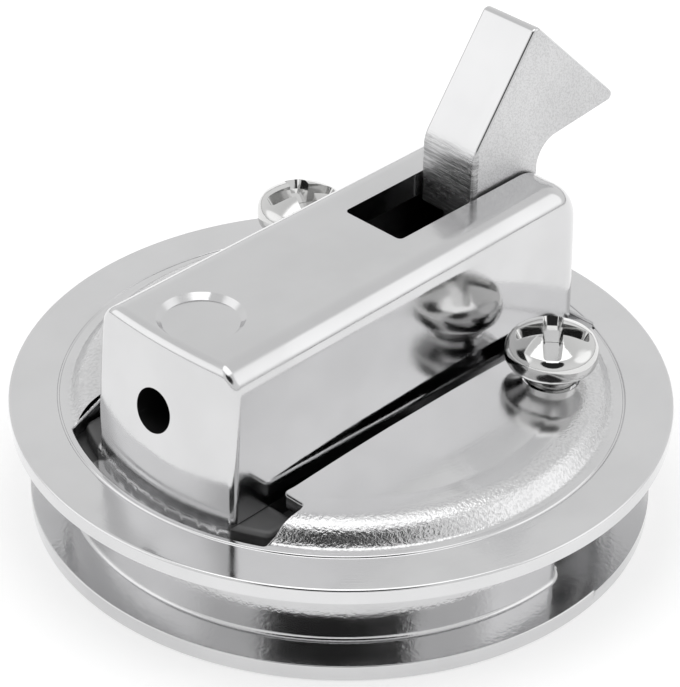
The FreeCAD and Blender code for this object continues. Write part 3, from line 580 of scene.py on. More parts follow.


# painted shade in the casting's hollows: the box, the bore and the slot
def shadeInHousing(tree):
    x, y, z = axesOf(tree, placeOf(tree))
    hollow = mathNode(tree, "MAXIMUM", shadeInBox(tree, x, y, z), shadeInBore(tree, x, y, z))
    return mathNode(tree, "MAXIMUM", hollow, shadeInSlot(tree, y, z))


chromeLook = {
    "color": (0.63, 0.63, 0.635), "waveSize": 160.0, "waveHeight": 0.5, "grainSize": 2600.0,
    "grainHeight": 0.05, "glossLow": 0.08, "glossHigh": 0.2, "bumpDepth": 0.00006,
}
# the casting carries painted shade in its box, bore and slot
housingMaterial = metalMaterial("chromeCasting", {
    **chromeLook, "paintedShadeZone": shadeInHousing, "paintedShadeDepth": 0.92, "darkRoughness": 0.42, "matteZone": belowGrainTop,
    "matteGrain": 2600.0, "matteHeight": 0.16, "matteGloss": 0.0, "matteTone": 0.0,
})
plateMaterial = metalMaterial("chromePlate", {
    **chromeLook, "color": (0.665, 0.665, 0.67), "ringSpacing": 0.00018, "ringHeight": 0.03,
    "matteZone": inShoulder, "matteGrain": 3300.0, "matteHeight": 1.0, "matteGloss": 0.04,
    "matteTone": 0.1,
})
handleMaterial = metalMaterial("chromeHandle", {**chromeLook, "waveHeight": 0.6, "glossLow": 0.06})
boltMaterial = metalMaterial("boltChrome", {
    **chromeLook, "matteZone": onSides, "matteGrain": 6200.0, "matteHeight": 0.4, "matteGloss": 0.24,
    "matteTone": 0.17, "scratchZone": onFront,
})
screwMaterial = metalMaterial("screwPlating", {
    **chromeLook, "color": (0.64, 0.64, 0.635), "waveHeight": 0.2, "glossLow": 0.07, "glossHigh": 0.16,
})
pinMaterial = metalMaterial("turnedSteel", {
    **chromeLook, "color": (0.5, 0.5, 0.51), "glossLow": 0.2, "glossHigh": 0.34, "grainHeight": 0.2,
})
springMaterial = metalMaterial("springWire", {
    **chromeLook, "color": (0.42, 0.42, 0.43), "glossLow": 0.22, "glossHigh": 0.4, "grainHeight": 0.2,
})
print("materials made")


def dress(item, body, material, slotName, *nodes):
    item.data.materials.clear()
    item.data.materials.append(material)
    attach(item, body)
    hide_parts(*nodes)


# The casting: bezel, finger cup, foot and box.


casting = {
    "bezelRadius": 28.35, "bezelThickness": 1.65, "bezelRound": 0.3, "bezelBackRound": 0.12, "backStep": 0.15,
    "neckRadius": 24.8, "neckTop": 9.7, "neckEnd": 3.0, "neckCorner": 2.4, "neckCove": 0.45, "neckRound": 0.2,
    "cupWall": 1.6, "cupCorner": 1.2, "cupRound": 0.8, "sunk": 0.5,
    "footTop": 10.7, "footNear": 20.0, "footNearRadius": 23.6, "footLow": 9.6, "footHalfWidth": 7.86,
    "lugHalfWidth": 11.7, "lugStart": 17.4, "lugRadius": 23.6, "lugTop": 11.4, "lugRound": 0.6,
    "lugCorner": 0.9, "boxTop": 26.5, "boxHalfWidth": 7.85, "nearWider": 0.75, "farWider": 0.25,
    "boxNear": 21.7, "boxFar": 23.3, "spreadTop": 24.0, "spreadEnd": 16.0, "sideLevels": (19.0, 22.0),
    "sideDraft": 0.4, "endDraft": 1.2, "endCrown": 60.0, "longEdge": 2.3, "farRound": 4.0,
    "nearEdge": 0.85, "farEdge": 2.6, "leastFarEdge": 0.3, "leastNearEdge": 0.06,
    "roof": 2.4, "cavityHalfWidth": 5.0, "cavityNear": 19.6, "cavityFar": 22.4, "cavityCorner": 0.6,
    "windowNear": 3.6, "windowHalfWidth": 3.4, "windowCorner": 0.5,
    "recessRadius": 3.85, "recessFloor": 3.35, "recessDepth": 0.5, "recessPlace": 17.3,
    "holeRadius": 2.0, "holeHeight": 19.6, "pinHole": 1.52,
    "bossRadius": 3.4, "bossTop": 9.1, "bossRound": 0.3, "bossFloor": 2.0, "bossHole": 2.05,
    "softening": 0.14, "softAngle": 32.0,
}


def halfRound(radius, chord, corner, steps=120):
    # the part of a disc on the -X side of a chord, with rounded corners
    centreX = chord - corner
    centreY = math.sqrt((radius - corner) ** 2 - centreX ** 2)
    lean = math.degrees(math.atan2(centreY, centreX))
    points = arcPoints((centreX, centreY), corner, 0, lean, 10)
    points += arcPoints((0, 0), radius, lean, 360 - lean, steps)[1:-1]
    points += arcPoints((centreX, -centreY), corner, 360 - lean, 360, 10)
    return np.array(points)


def boxInset(height, radius):
    above = height - (casting["boxTop"] - radius)
    if above <= 0:
        return 0.0
    return radius - math.sqrt(max(radius ** 2 - above ** 2, 0))


def boxOutline(height):
    # the box at one height; its near end spreads from the spread line down to the round foot
    c = casting
    drop = c["boxTop"] - height
    lean = drop * math.tan(math.radians(c["endDraft"]))
    half = c["boxHalfWidth"] + drop * math.tan(math.radians(c["sideDraft"])) - boxInset(height, c["longEdge"])
    near = c["boxNear"] + lean - boxInset(height, c["nearEdge"])
    far = c["boxFar"] + lean - boxInset(height, c["farRound"])
    spread = min(max(c["spreadTop"] - height, 0) / (c["spreadTop"] - c["spreadEnd"]), 1)
    farCorner = max(c["farEdge"] - boxInset(height, c["longEdge"]), c["leastFarEdge"])
    nearCorner = max(c["nearEdge"] - boxInset(height, c["nearEdge"]), c["leastNearEdge"])
    points = [(far, -half - c["farWider"]), (far, half)]
    radii = [farCorner, farCorner]
    chordDepth = math.sqrt(c["endCrown"] ** 2 - half ** 2)
    for share in np.linspace(1, -1, 11):
        y = half * share - max(-share, 0) * c["nearWider"]
        end = near + math.sqrt(c["endCrown"] ** 2 - y ** 2) - chordDepth
        foot = math.sqrt(c["footNearRadius"] ** 2 - y ** 2)
        points.append((-end - (foot - end) * spread, y))
        radii.append(nearCorner if abs(share) == 1 else 0)
    return roundCorners(points, radii, 8)


def boxShape():
    c = casting
    heights = [c["footLow"]] + list(np.linspace(c["footTop"], c["spreadEnd"], 3)) + list(c["sideLevels"])
    for step in range(21):
        angle = math.pi / 2 * step / 20
        heights.append(c["boxTop"] - c["farRound"] * (1 - math.sin(angle)))
    return joinLoops([layOut(boxOutline(height), height, "XY") for height in heights])


def lugOutline():
    c = casting
    half, start, radius, corner = c["lugHalfWidth"], c["lugStart"], c["lugRadius"], c["lugCorner"]
    lean = math.degrees(math.asin(half / radius))
    points = arcPoints((0, 0), radius, 180 - lean, 180 + lean, 40) + [(-start, -half), (-start, half)]
    radii = [corner] + [0] * 39 + [corner] * 3
    return roundCorners(points, radii, 4)


def rectangle(lowX, highX, half, corner):
    points = [(lowX, -half), (highX, -half), (highX, half), (lowX, half)]
    return roundCorners(points, [corner] * 4, 5)


def neckShape():
    # the cup's outer wall, with a cove where it meets the bezel
    c = casting
    outline = halfRound(c["neckRadius"], c["neckEnd"], c["neckCorner"], 180)
    base, cove, edge = c["bezelThickness"] - 0.02, c["neckCove"], c["neckRound"]
    levels = [(-cove, c["sunk"]), (-cove, base)]
    for step in range(1, 7):
        angle = math.pi / 2 * step / 6
        levels.append((-cove * (1 - math.sin(angle)), base + cove * (1 - math.cos(angle))))
    levels += [(0, c["neckTop"] - edge), (edge * 0.3, c["neckTop"] - edge * 0.3), (edge, c["neckTop"])]
    return joinLoops([layOut(insetOutline(outline, inset), height, "XY") for inset, height in levels])


def bezelShape():
    c = casting
    edge, back = c["bezelRound"], c["bezelBackRound"]
    profile = [(0, 0)] + arcPoints((c["bezelRadius"] - edge, edge), edge, -90, 0, 6)
    profile += arcPoints((c["bezelRadius"] - back, c["bezelThickness"] - back), back, 0, 90, 3)
    profile.append((0, c["bezelThickness"]))
    return lathe(profile, 256)


def castingParts():
    # what stands on the bezel
    c = casting
    half, sunk = c["footHalfWidth"], c["sunk"]
    footFar = c["boxFar"] + (c["boxTop"] - c["footTop"]) * math.tan(math.radians(c["endDraft"]))
    corners = [(-c["footNear"], -half), (footFar, -half), (footFar, half), (-c["footNear"], half)]
    foot = prism(roundCorners(corners, [0, c["farEdge"], c["farEdge"], 0], 8), sunk, c["footTop"])
    lugs = prism(lugOutline(), sunk, c["lugTop"], 0, c["lugRound"], 8)
    boss = prism(circleOutline((0, 0), c["bossRadius"], 48), sunk, c["bossTop"], 0, c["bossRound"])
    return [neckShape(), foot, lugs, boxShape()] + [moved(boss, (x, y, 0)) for x, y in screwSpots]


def castingCuts():
    # the cup, the hollow in the box with its window, the recess and the holes
    c = casting
    wall, depth, above = c["cupWall"], c["recessDepth"], c["boxTop"] + 3.5
    cupOutline = halfRound(c["neckRadius"] - wall, c["neckEnd"] - wall, c["cupCorner"])
    cup = prism(cupOutline, -1, c["neckTop"] - wall, 0, c["cupRound"], 6)
    cavityOutline = rectangle(-c["cavityNear"], c["cavityFar"], c["cavityHalfWidth"], c["cavityCorner"])
    cavity = prism(cavityOutline, -1, c["boxTop"] - c["roof"])
    windowOutline = rectangle(c["windowNear"], c["cavityFar"], c["windowHalfWidth"], c["windowCorner"])
    window = prism(windowOutline, above - 10, above)
    side = c["recessRadius"]
    recess = lathe([(0, 0), (c["recessFloor"], 0), (side, depth), (side, 3), (0, 3)], 96)
    recess = moved(recess, (-c["recessPlace"], 0, c["boxTop"] - depth))
    hole = moved(rod(c["holeRadius"], 10, 64, "X"), (-c["cavityNear"] - 6, 0, c["holeHeight"]))
    pinHole = moved(rod(c["pinHole"], 20, 64, "Y"), (pinSpot[0], -10, pinSpot[1]))
    screwHoles = [moved(rod(c["bossHole"], 20, 48), (x, y, c["bossFloor"])) for x, y in screwSpots]
    return [cup, cavity, window, recess, hole, pinHole] + screwHoles


def makeCasting():
    c = casting
    item = makeObject("castHousing", bezelShape())
    turnOutward(item)
    step = prism(rectangle(c["neckEnd"], 40, 40, 0.05), c["bezelThickness"] - c["backStep"], 2.0)
    combine(item, [step], "DIFFERENCE")
    combine(item, castingParts(), "UNION")
    combine(item, castingCuts(), "DIFFERENCE")
    softenEdges(item, c["softening"], c["softAngle"])
    dress(item, "housing", housingMaterial, "chrome_casting", "housing")
    print("casting made:", len(item.data.polygons), "faces")


makeCasting()


# The backing plate.


plate = {
    "radius": 30.0, "low": 9.7, "gauge": 1.4, "rise": 1.8, "shoulderFoot": 24.35, "shoulderTop": 19.7,
    "footSlope": 60.0, "coveRound": 0.5, "crown": 0.7, "rimRound": 0.28,
    "grooveRadius": 25.5, "grooveDepth": 0.2, "grooveHalf": 0.2,
    "slotNarrow": 8.5, "slotRight": 9.5, "slotWide": 12.05, "slotStart": 17.05,
    "slotNearRadius": 24.8, "slotFar": 24.0, "slotCorner": 0.6, "slotOuter": 0.3, "leastCorner": 0.1,
    "slotEdge": 0.25, "holeRadius": 2.55, "steps": 240, "slopeReach": 0.02,
}


def platePath(low, cove):
    # one side's profile as (radius, height): crowned middle, shoulder that steepens outwards, cove and rim
    p = plate
    top, foot, rise = p["shoulderTop"], p["shoulderFoot"], p["rise"]
    steep = math.tan(math.radians(p["footSlope"]))
    shares = np.linspace(0, 1, 13)[:-1]
    points = [(top * share, low + rise + p["crown"] * (1 - share ** 2)) for share in shares]
    power = steep * (foot - top) / rise
    for share in np.linspace(0, 1, 15)[:-1]:
        points.append((top + (foot - top) * share, low + rise * (1 - share ** power)))
    radii = [0] * len(points) + [cove, 0, 0, 0]
    points += [(foot, low), (p["radius"], low), (p["radius"], low - 9), (0, low - 9)]
    return roundCorners(points, radii, 9)[:-2]


topPath = platePath(plate["low"] + plate["gauge"], plate["coveRound"])
underPath = platePath(plate["low"], plate["coveRound"] + plate["gauge"] * 0.5)


def underHeight(radius):
    return np.interp(radius, underPath[:, 0], underPath[:, 1])


def topHeight(radius):
    # the upper side, with the groove in the rim
    dip = np.clip(1 - np.abs(radius - plate["grooveRadius"]) / plate["grooveHalf"], 0, 1)
    flat = np.interp(radius, topPath[:, 0], topPath[:, 1])
    return flat - plate["grooveDepth"] * (3 * dip ** 2 - 2 * dip ** 3)


def topNormal(x, y):
    radius, reach = np.hypot(x, y), plate["slopeReach"]
    slope = (topHeight(radius + reach) - topHeight(radius - reach)) / (2 * reach)
    size = np.sqrt(1 + slope ** 2)
    safe = np.maximum(radius, 1e-6)
    return np.stack([-slope * x / safe / size, -slope * y / safe / size, 1 / size], axis=1)


def slotOutline(grow):
    p = plate
    narrow, wide, right = p["slotNarrow"] + grow, p["slotWide"] + grow, p["slotRight"] + grow
    start, near, far = p["slotStart"] - grow, p["slotNearRadius"] + grow, p["slotFar"] + grow
    leanNear = math.degrees(math.asin(wide / near))
    points = [(far, -right), (far, narrow), (-start, narrow), (-start, wide)]
    points += arcPoints((0, 0), near, 180 - leanNear, 180 + leanNear, 30)
    points += [(-start, -wide), (-start, -right)]
    inner, outer = max(p["slotCorner"] - grow, p["leastCorner"]), p["slotOuter"] + grow
    radii = [outer, outer, inner, outer, outer] + [0] * 29 + [outer, outer, inner]
    return roundCorners(points, radii, 6)


def openings(grow):
    holes = [circleOutline(spot, plate["holeRadius"] + grow, 64) for spot in screwSpots]
    return [slotOutline(grow)] + holes


def plateRings():
    # circles that the triangles follow, close together on the shoulder and at the groove
    groove, half = plate["grooveRadius"], plate["grooveHalf"]
    radii = list(np.arange(1.5, 18.0, 1.5)) + list(np.arange(18.0, 26.4, 0.3)) + [27.0, 28.0, 29.0]
    radii = [radius for radius in radii if abs(radius - groove) > half + 0.05]
    radii += [groove - half, groove - half / 2, groove, groove + half / 2, groove + half]
    return [circleOutline((0, 0), radius, plate["steps"]) for radius in sorted(radii)]


def insideOutline(outline, x, y):
    ahead = np.roll(outline, -1, axis=0)
    inside = np.zeros(len(x), bool)
    for (x1, y1), (x2, y2) in zip(outline, ahead):
        if y1 == y2:
            continue
        crosses = (y1 > y) != (y2 > y)
        inside ^= crosses & (x < (x2 - x1) * (y - y1) / (y2 - y1) + x1)
    return inside


def sheetTriangles(border, holes, rings):
    # a flat triangulation of a disc with holes that follows the given rings
    points, edges = [], []
    for loop in [border] + holes + rings:
        first = len(points)
        points += [Vector((float(x), float(y))) for x, y in loop]
        edges += [(first + i, first + (i + 1) % len(loop)) for i in range(len(loop))]
    result = delaunay_2d_cdt(points, edges, [], 0, 1e-6)
    flat = np.array([(point.x, point.y) for point in result[0]])
    faces = np.array([tuple(face) for face in result[2] if len(face) == 3])
    middle = flat[faces].mean(axis=1)
    keep = insideOutline(border, middle[:, 0], middle[:, 1])
    for hole in holes:
        keep &= ~insideOutline(hole, middle[:, 0], middle[:, 1])
    return flat, faces[keep]


def addSheet(sheet, grow, rimInset, height, turnOver):
    # one side of the plate
    points, faces, normals = sheet
    border = circleOutline((0, 0), plate["radius"] - rimInset, plate["steps"])
    flat, triangles = sheetTriangles(border, openings(grow), plateRings())
    start = len(points)
    levels = height(np.hypot(flat[:, 0], flat[:, 1]))
    for (x, y), z, normal in zip(flat, levels, topNormal(flat[:, 0], flat[:, 1])):
        points.append((x, y, z))
        normals.append(normal * (-1 if turnOver else 1))
    for a, b, c in triangles:
        faces.append((start + a, start + c, start + b) if turnOver else (start + a, start + b, start + c))


def addBand(sheet, outline, inward, topInset):
    # the rounded top edge and the wall of an opening or of the rim
    points, faces, normals = sheet
    sign = -1 if inward else 1
    tilt, scale = outlineNormals(outline)
    loops = []
    for step in range(6):
        angle = math.pi / 2 * step / 5
        loops.append((topInset * (1 - math.sin(angle)), topInset * (1 - math.cos(angle)), math.sin(angle)))
    loops.append((0, None, 1.0))
    start = len(points)
    count = len(outline)
    for out, drop, lean in loops:
        place = outline - tilt * (sign * out * scale)[:, None]
        radius = np.hypot(place[:, 0], place[:, 1])
        level = topHeight(radius) - drop if drop is not None else underHeight(radius)
        up = topNormal(place[:, 0], place[:, 1])
        for (x, y), z, (nx, ny), rise in zip(place, level, tilt, up):
            normal = np.array([sign * nx, sign * ny, 0]) * lean + rise * math.sqrt(1 - lean ** 2)
            points.append((x, y, z))
            normals.append(unit(normal))
    for level in range(len(loops) - 1):
        for index in range(count):
            after = (index + 1) % count
            a, b = start + level * count, start + (level + 1) * count
            quad = (a + index, b + index, b + after, a + after)
            faces.append(tuple(reversed(quad)) if inward else quad)


def makePlate():
    p = plate
    sheet = ([], [], [])
    addSheet(sheet, p["slotEdge"], p["rimRound"], topHeight, False)
    addSheet(sheet, 0.0, 0.0, underHeight, True)
    for outline in openings(0.0):
        addBand(sheet, outline, True, p["slotEdge"])
    addBand(sheet, circleOutline((0, 0), p["radius"], p["steps"]), False, p["rimRound"])
    points, faces, normals = sheet
    item = makeObject("dishedPlate", (points, faces))
    mesh = item.data
    mesh.shade_smooth()
    mesh.normals_split_custom_set_from_vertices([tuple(normal) for normal in normals])
    dress(item, "housing", plateMaterial, "chrome_plate", "backing_plate")
    print("plate made:", len(mesh.polygons), "faces")


makePlate()


# The clamp screws.


screw = {
    "radius": 2.0, "length": 12.0, "tipShare": 0.8, "tipHeight": 0.4, "headRadius": 4.25, "headHeight": 4.3,
    "headSide": 2.7, "coneTop": 0.9, "coneInset": 0.35, "coneRound": 0.15, "sideInset": 0.2,
    "sideBulge": 0.16, "domeInset": 0.25, "collar": 2.5, "collarGap": 0.1,
    "slot": 1.8, "slotReach": 4.0, "slotDepth": 1.9, "slotFlare": 0.8, "slotTaper": 0.3, "floorCorner": 0.2,
    "mouthCorner": 0.45, "mouthDepth": 0.5, "crossReach": 3.5, "crossDeeper": 0.05,
    "seat": 12.9, "liftRight": 0.95, "liftLeft": 2.7, "angleRight": 41.0, "angleLeft": 62.0,
    "softening": 0.12, "softAngle": 30.0,
}


def crossWing(reach, floor):
    # one bar of the cross recess: its floor is narrower and shorter than its mouth
    s = screw
    half, inner, top = s["slot"] / 2, reach - s["slotFlare"], s["headHeight"]
    low = rectangle(-inner, inner, half - s["slotTaper"], s["floorCorner"])
    mouth = rectangle(-reach, reach, half, s["mouthCorner"])
    levels = ((low, floor), (mouth, top - s["mouthDepth"]), (mouth, top + 3))
    return joinLoops([layOut(outline, height, "XY") for outline, height in levels])


def screwProfile(lift):
    # the collar under the head reaches down to the plate
    s = screw
    side, cone, head, shank = s["headSide"], s["coneTop"], s["headRadius"], s["radius"]
    foot = s["collarGap"] - lift
    profile = [(0, -s["length"]), (shank * s["tipShare"], -s["length"])]
    profile += [(shank, s["tipHeight"] - s["length"]), (shank, foot), (s["collar"], foot), (s["collar"], 0)]
    profile += [(head - s["coneInset"], cone - s["coneRound"]), (head - s["sideInset"], cone)]
    for share in np.linspace(-0.8, 0.8, 7):
        profile.append((head - s["sideBulge"] * share ** 2, (side + cone) / 2 + (side - cone) / 2 * share))
    rise = s["headHeight"] - side
    dome = (head ** 2 + rise ** 2) / (2 * rise)
    rimStart = math.asin((head - s["domeInset"]) / dome)
    for share in np.linspace(0.96, 0, 14):
        lean = rimStart * share
        profile.append((dome * math.sin(lean), s["headHeight"] - dome * (1 - math.cos(lean))))
    return profile


def makeScrew(name, node, spot, lift, angle):
    s = screw
    item = makeObject(name, lathe(screwProfile(lift), 96))
    turnOutward(item)
    floor = s["headHeight"] - s["slotDepth"]
    points, faces = crossWing(s["crossReach"], floor - s["crossDeeper"])
    turned = [(-y, x, z) for x, y, z in points]
    combine(item, [crossWing(s["slotReach"], floor), (turned, faces)], "DIFFERENCE")
    softenEdges(item, s["softening"], s["softAngle"])
    place = Matrix.Translation((spot[0] * mm, spot[1] * mm, (s["seat"] + lift) * mm))
    item.data.transform(place @ Matrix.Rotation(math.radians(angle), 4, "Z"))
    dress(item, "housing", screwMaterial, "screw_steel", node)


makeScrew("clampScrewRight", "screw_right", screwSpots[0], screw["liftRight"], screw["angleRight"])
makeScrew("clampScrewLeft", "screw_left", screwSpots[1], screw["liftLeft"], screw["angleLeft"])
print("screws made")


# The bolt.


bolt = {
    "half": 3.1, "faceX": 13.3, "faceFoot": 23.6, "bend": 30.5, "crestX": 21.1, "crest": 41.1,
    "tipX": 33.2, "tip": 29.3, "throatX": 24.8, "throat": 28.6, "throatRound": 2.6, "back": 22.25,
    "windowTop": 26.5, "armX": 15.3, "armFoot": 10.1, "footRound": 0.3, "backRound": 0.2, "tipRound": 0.6,
    "crestRound": 0.7, "bendRound": 3.0, "sideRound": 0.3, "pinHole": 1.56, "hubRadius": 2.6, "hubSide": 0.4,
    "tailEnd": 8.0, "tailTop": 8.9, "tailThickness": 2.2, "tailRound": 0.3, "armRound": 0.8,
    "notchX": 17.2, "notchHalf": 0.6, "notchY": 0.3, "notchTop": 13.1, "notchReach": 1.0, "notchCorner": 0.05,
    "softening": 0.1, "softAngle": 40.0,
}


def throatPoints():
    # the arc that leads from the back of the bolt to the underside of the hook
    b = bolt
    start = np.array([b["back"], b["windowTop"]])
    end = np.array([b["throatX"], b["throat"]])
    chord = end - start
    length = np.linalg.norm(chord)
    across = np.array([chord[1], -chord[0]]) / length
    radius = b["throatRound"]
    centre = (start + end) / 2 + across * math.sqrt(radius ** 2 - length ** 2 / 4)
    first = math.degrees(math.atan2(*(start - centre)[::-1]))
    last = math.degrees(math.atan2(*(end - centre)[::-1]))
    return arcPoints(centre, radius, first, last, 10)


def boltOutline():
    b = bolt
    points = [(b["faceX"], b["faceFoot"]), (b["armX"], b["faceFoot"]), (b["armX"], b["armFoot"]),
              (b["back"], b["armFoot"])]
    points += [tuple(point) for point in throatPoints()]
    points += [(b["tipX"], b["tip"]), (b["crestX"], b["crest"]), (b["faceX"], b["bend"])]
    radii = [b["footRound"]] * 2 + [b["backRound"]] * 2 + [0] * 11
    radii += [b["tipRound"], b["crestRound"], b["bendRound"]]
    return roundCorners(points, radii, 8)


def webOutline():
    # joins the arm, the hub and the tail that the handle's catch lifts
    b = bolt
    pinX, pinZ = pinSpot
    under, over = b["tailTop"] - b["tailThickness"], b["armFoot"] + 1
    left, right = pinX - b["hubRadius"], pinX + b["hubRadius"]
    points = [(b["tailEnd"], under), (left, under), (left, pinZ), (right, pinZ), (right, over),
              (b["armX"], over), (b["armX"], b["tailTop"]), (b["tailEnd"], b["tailTop"])]
    return roundCorners(points, [b["tailRound"], 0, 0, 0, 0, 0, b["armRound"], b["tailRound"]], 4)


def makeBolt():
    b = bolt
    half, edge = b["half"], b["sideRound"]
    pinX, pinZ = pinSpot
    item = makeObject("hookBolt", prism(boltOutline(), -half, half, edge, edge, 4, "XZ"))
    turnOutward(item)
    hub = moved(rod(b["hubRadius"], half - b["hubSide"], 64, "Y"), (pinX, -half, pinZ))
    web = prism(webOutline(), -half, -b["hubSide"], plane="XZ")
    combine(item, [web, hub], "UNION")
    bore = moved(rod(b["pinHole"], 10, 64, "Y"), (pinX, -5, pinZ))
    low, high, reach = b["notchX"] - b["notchHalf"], b["notchX"] + b["notchHalf"], b["notchReach"]
    notch = prism(rectangle(low, high, reach, b["notchCorner"]), b["armFoot"] - 1, b["notchTop"])
    notch = moved(notch, (0, b["notchY"] + b["notchHalf"] - reach, 0))
    combine(item, [bore, notch], "DIFFERENCE")
    softenEdges(item, b["softening"], b["softAngle"])
    dress(item, "bolt", boltMaterial, "bolt_chrome", "bolt")
    print("bolt made")


makeBolt()


# The spring, and the pieces that keep the mesh they have.


spring = {
    "radius": 2.3, "wire": 0.4, "pitch": 0.95, "turns": 2.75, "start": 0.3,
    "legTop": 12.9, "legEnd": 11.6, "legBend": 0.8, "legReach": 5.9, "legPoints": 12, "overlap": 3,
}


def springPath():
    # down the upright leg, round the coil, and along the hooked leg
    s = spring
    pinX, pinZ = pinSpot
    left = pinX - s["radius"]
    points = [np.array([left, s["start"], height]) for height in np.linspace(s["legTop"], pinZ + 0.1, 8)]
    steps = int(s["turns"] * 32)
    for step in range(steps + 1):
        angle = 2 * math.pi * s["turns"] * step / steps
        across = s["start"] + s["pitch"] * angle / (2 * math.pi)
        x, z = pinX - s["radius"] * math.cos(angle), pinZ - s["radius"] * math.sin(angle)
        points.append(np.array([x, across, z]))
    last = points[-1]
    bend = s["legBend"]
    for x in np.linspace(last[0] - 0.3, s["legEnd"] + bend, 6):
        points.append(np.array([x, last[1], last[2]]))
    for x, y in arcPoints((s["legEnd"] + bend, last[1] + bend), bend, 270, 180, 8)[1:]:
        points.append(np.array([x, y, last[2]]))
    points.append(np.array([s["legEnd"], s["legReach"], last[2]]))
    return np.array(points)


def sweptTube(path, radius, sides=14):
    ahead = np.gradient(path, axis=0)
    across = np.array([0.0, 1.0, 0.0])
    loops = []
    for point, direction in zip(path, ahead):
        forward = unit(direction)
        across = unit(across - forward * float(across @ forward))
        third = np.cross(forward, across)
        loop = []
        for side in range(sides):
            angle = 2 * math.pi * side / sides
            loop.append(tuple(point + radius * (across * math.cos(angle) + third * math.sin(angle))))
        loops.append(loop)
    return joinLoops(loops)


def makeSpring():
    # the leg in the bolt's notch turns with the bolt about the pin, and the coil stays
    path = springPath()
    coil = path[spring["legPoints"] - spring["overlap"]:]
    leg = path[:spring["legPoints"]]
    for name, body, points in (("torsionSpring", "housing", coil), ("springLeg", "bolt", leg)):
        item = makeObject(name, sweptTube(points, spring["wire"]))
        turnOutward(item)
        item.data.shade_smooth()
        dress(item, body, springMaterial, "spring_steel", "bolt_spring")


def finishNode(name, material, width):
    # a carried-over piece gets its finish and small roundings on its edges
    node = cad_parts[name]
    node.data.materials.clear()
    node.data.materials.append(material)
    bevel = node.modifiers.new("edges", "BEVEL")
    bevel.width = width * mm
    bevel.segments = 3
    bevel.limit_method = "ANGLE"
    bevel.angle_limit = math.radians(35)
    bevel.harden_normals = True


makeSpring()
finishNode("handle", handleMaterial, 0.15)
finishNode("pivot_pin", pinMaterial, 0.12)
print("spring made, handle and pin finished")


# Floor, light and camera.


studio = {
    "floorSize": 3.0, "floorDrop": 0.02, "floorTone": 0.6, "floorRoughness": 0.9, "floorGlow": 0.6,
    "floorWhite": 0.5, "keyPower": 0.8, "keySize": 0.5, "keyHeight": 0.6,
    "sky": ((0.0, 0.3), (0.05, 0.92), (0.3, 0.95), (0.6, 0.9), (1.0, 0.78)),
    "lamps": ((-0.633, 0.591, 0.5), (0.612, -0.612, 0.5)), "lampEdge": 0.88, "lampFull": 0.95,
    "lampBrightness": 0.5, "dotElevation": 43.0, "dotEdge": 0.9, "dotFull": 0.925, "dotTone": 0.03,
    "cameraTarget": (-0.13, 0.13, 15.64), "cameraDistance": 286.7, "cameraHeading": (0.723, 0.691),
    "cameraElevation": 33.75, "cameraRoll": 0.97, "lens": 169.4, "sensor": 36.0,
}


def makeStage():
    half = studio["floorSize"] / 2
    mesh = bpy.data.meshes.new("floor")
    corners = [(-half, -half, 0), (half, -half, 0), (half, half, 0), (-half, half, 0)]
    mesh.from_pydata(corners, [], [(0, 1, 2, 3)])
    floor = bpy.data.objects.new("floor", mesh)
    bpy.context.scene.collection.objects.link(floor)
    material = bpy.data.materials.new("paleFloor")
    material.use_nodes = True
    tree = material.node_tree
    shader = tree.nodes["Principled BSDF"]
    tone = studio["floorTone"]
    shader.inputs["Base Color"].default_value = (tone, tone, tone, 1)
    shader.inputs["Roughness"].default_value = studio["floorRoughness"]
    shader.inputs["Specular IOR Level"].default_value = 0.0
    path = tree.nodes.new("ShaderNodeLightPath")
    mirrored = mathNode(tree, "MAXIMUM", path.outputs["Is Transmission Ray"], path.outputs["Is Glossy Ray"])
    direct = mathNode(tree, "MULTIPLY", path.outputs["Is Camera Ray"], studio["floorWhite"])
    strength = mathNode(tree, "ADD", mathNode(tree, "MULTIPLY", mirrored, studio["floorGlow"]), direct)
    shader.inputs["Emission Color"].default_value = (1, 1, 1, 1)
    tree.links.new(strength, shader.inputs["Emission Strength"])
    mesh.materials.append(material)
    floor.location.z = -studio["floorDrop"] * mm


def towardNode(tree, direction, aim):
    # the cosine of the angle between the direction looked in and an aim
    node = addNode(tree, "ShaderNodeVectorMath", {"operation": "DOT_PRODUCT"})
    tree.links.new(direction, node.inputs[0])
    node.inputs[1].default_value = aim
    return node.outputs["Value"]


def directionOf(elevation):
    # from the object toward the camera's side, at an elevation
    lift = math.radians(elevation)
    east, north = studio["cameraHeading"]
    return Vector((-east * math.cos(lift), -north * math.cos(lift), math.sin(lift)))


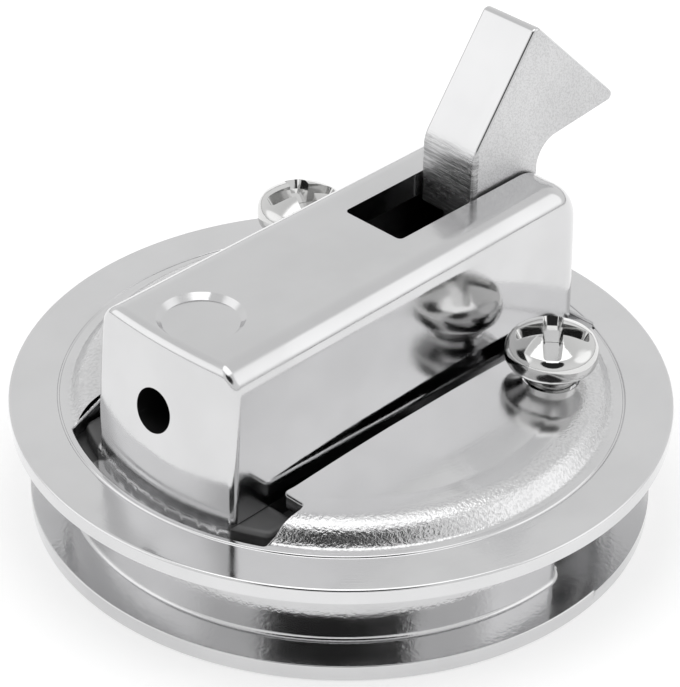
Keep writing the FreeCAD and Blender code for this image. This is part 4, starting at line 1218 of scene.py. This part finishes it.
def makeWorld():
    # a pale sky with a brighter lamp on each side and a dark spot above the camera
    s = studio
    world = bpy.data.worlds.new("studio")
    bpy.context.scene.world = world
    world.use_nodes = True
    tree = world.node_tree
    background = tree.nodes["Background"]
    direction = tree.nodes.new("ShaderNodeTexCoord").outputs["Generated"]
    level = rampNode(tree, axesOf(tree, direction)[2], s["sky"])
    for lamp in s["lamps"]:
        beside = towardNode(tree, direction, lamp)
        glow = mapRange(tree, beside, s["lampEdge"], s["lampFull"], 0.0, s["lampBrightness"])
        level = mathNode(tree, "ADD", level, glow)
    toward = towardNode(tree, direction, directionOf(s["dotElevation"]))
    shade = mapRange(tree, toward, s["dotEdge"], s["dotFull"], 1.0, s["dotTone"])
    level = mathNode(tree, "MULTIPLY", level, shade)
    path = tree.nodes.new("ShaderNodeLightPath")
    white = mathNode(tree, "MAXIMUM", level, path.outputs["Is Camera Ray"])
    tree.links.new(white, background.inputs["Strength"])
    background.inputs["Color"].default_value = (1, 1, 1, 1)


def makeKey():
    light = bpy.data.lights.new("key", "AREA")
    light.energy = studio["keyPower"]
    light.size = studio["keySize"]
    item = bpy.data.objects.new("key", light)
    item.location = (0, 0, studio["keyHeight"])
    bpy.context.scene.collection.objects.link(item)


def makeCamera():
    s = studio
    east, north = s["cameraHeading"]
    back = directionOf(s["cameraElevation"]).normalized()
    right = Vector((north, -east, 0)).normalized()
    up = back.cross(right)
    roll = math.radians(s["cameraRoll"])
    right = (right * math.cos(roll) + up * math.sin(roll)).normalized()
    up = back.cross(right)
    camera = bpy.data.cameras.new("camera")
    camera.sensor_fit = "HORIZONTAL"
    camera.sensor_width = s["sensor"]
    camera.lens = s["lens"]
    camera.clip_start = 0.01
    item = bpy.data.objects.new("camera", camera)
    place = Vector(s["cameraTarget"]) * mm + back * s["cameraDistance"] * mm
    rows = Matrix((right, up, back)).transposed().to_4x4()
    item.matrix_world = Matrix.Translation(place) @ rows
    bpy.context.scene.collection.objects.link(item)
    bpy.context.scene.camera = item


makeStage()
makeWorld()
makeKey()
makeCamera()
bpy.context.scene.view_settings.view_transform = "Standard"
print("studio ready")
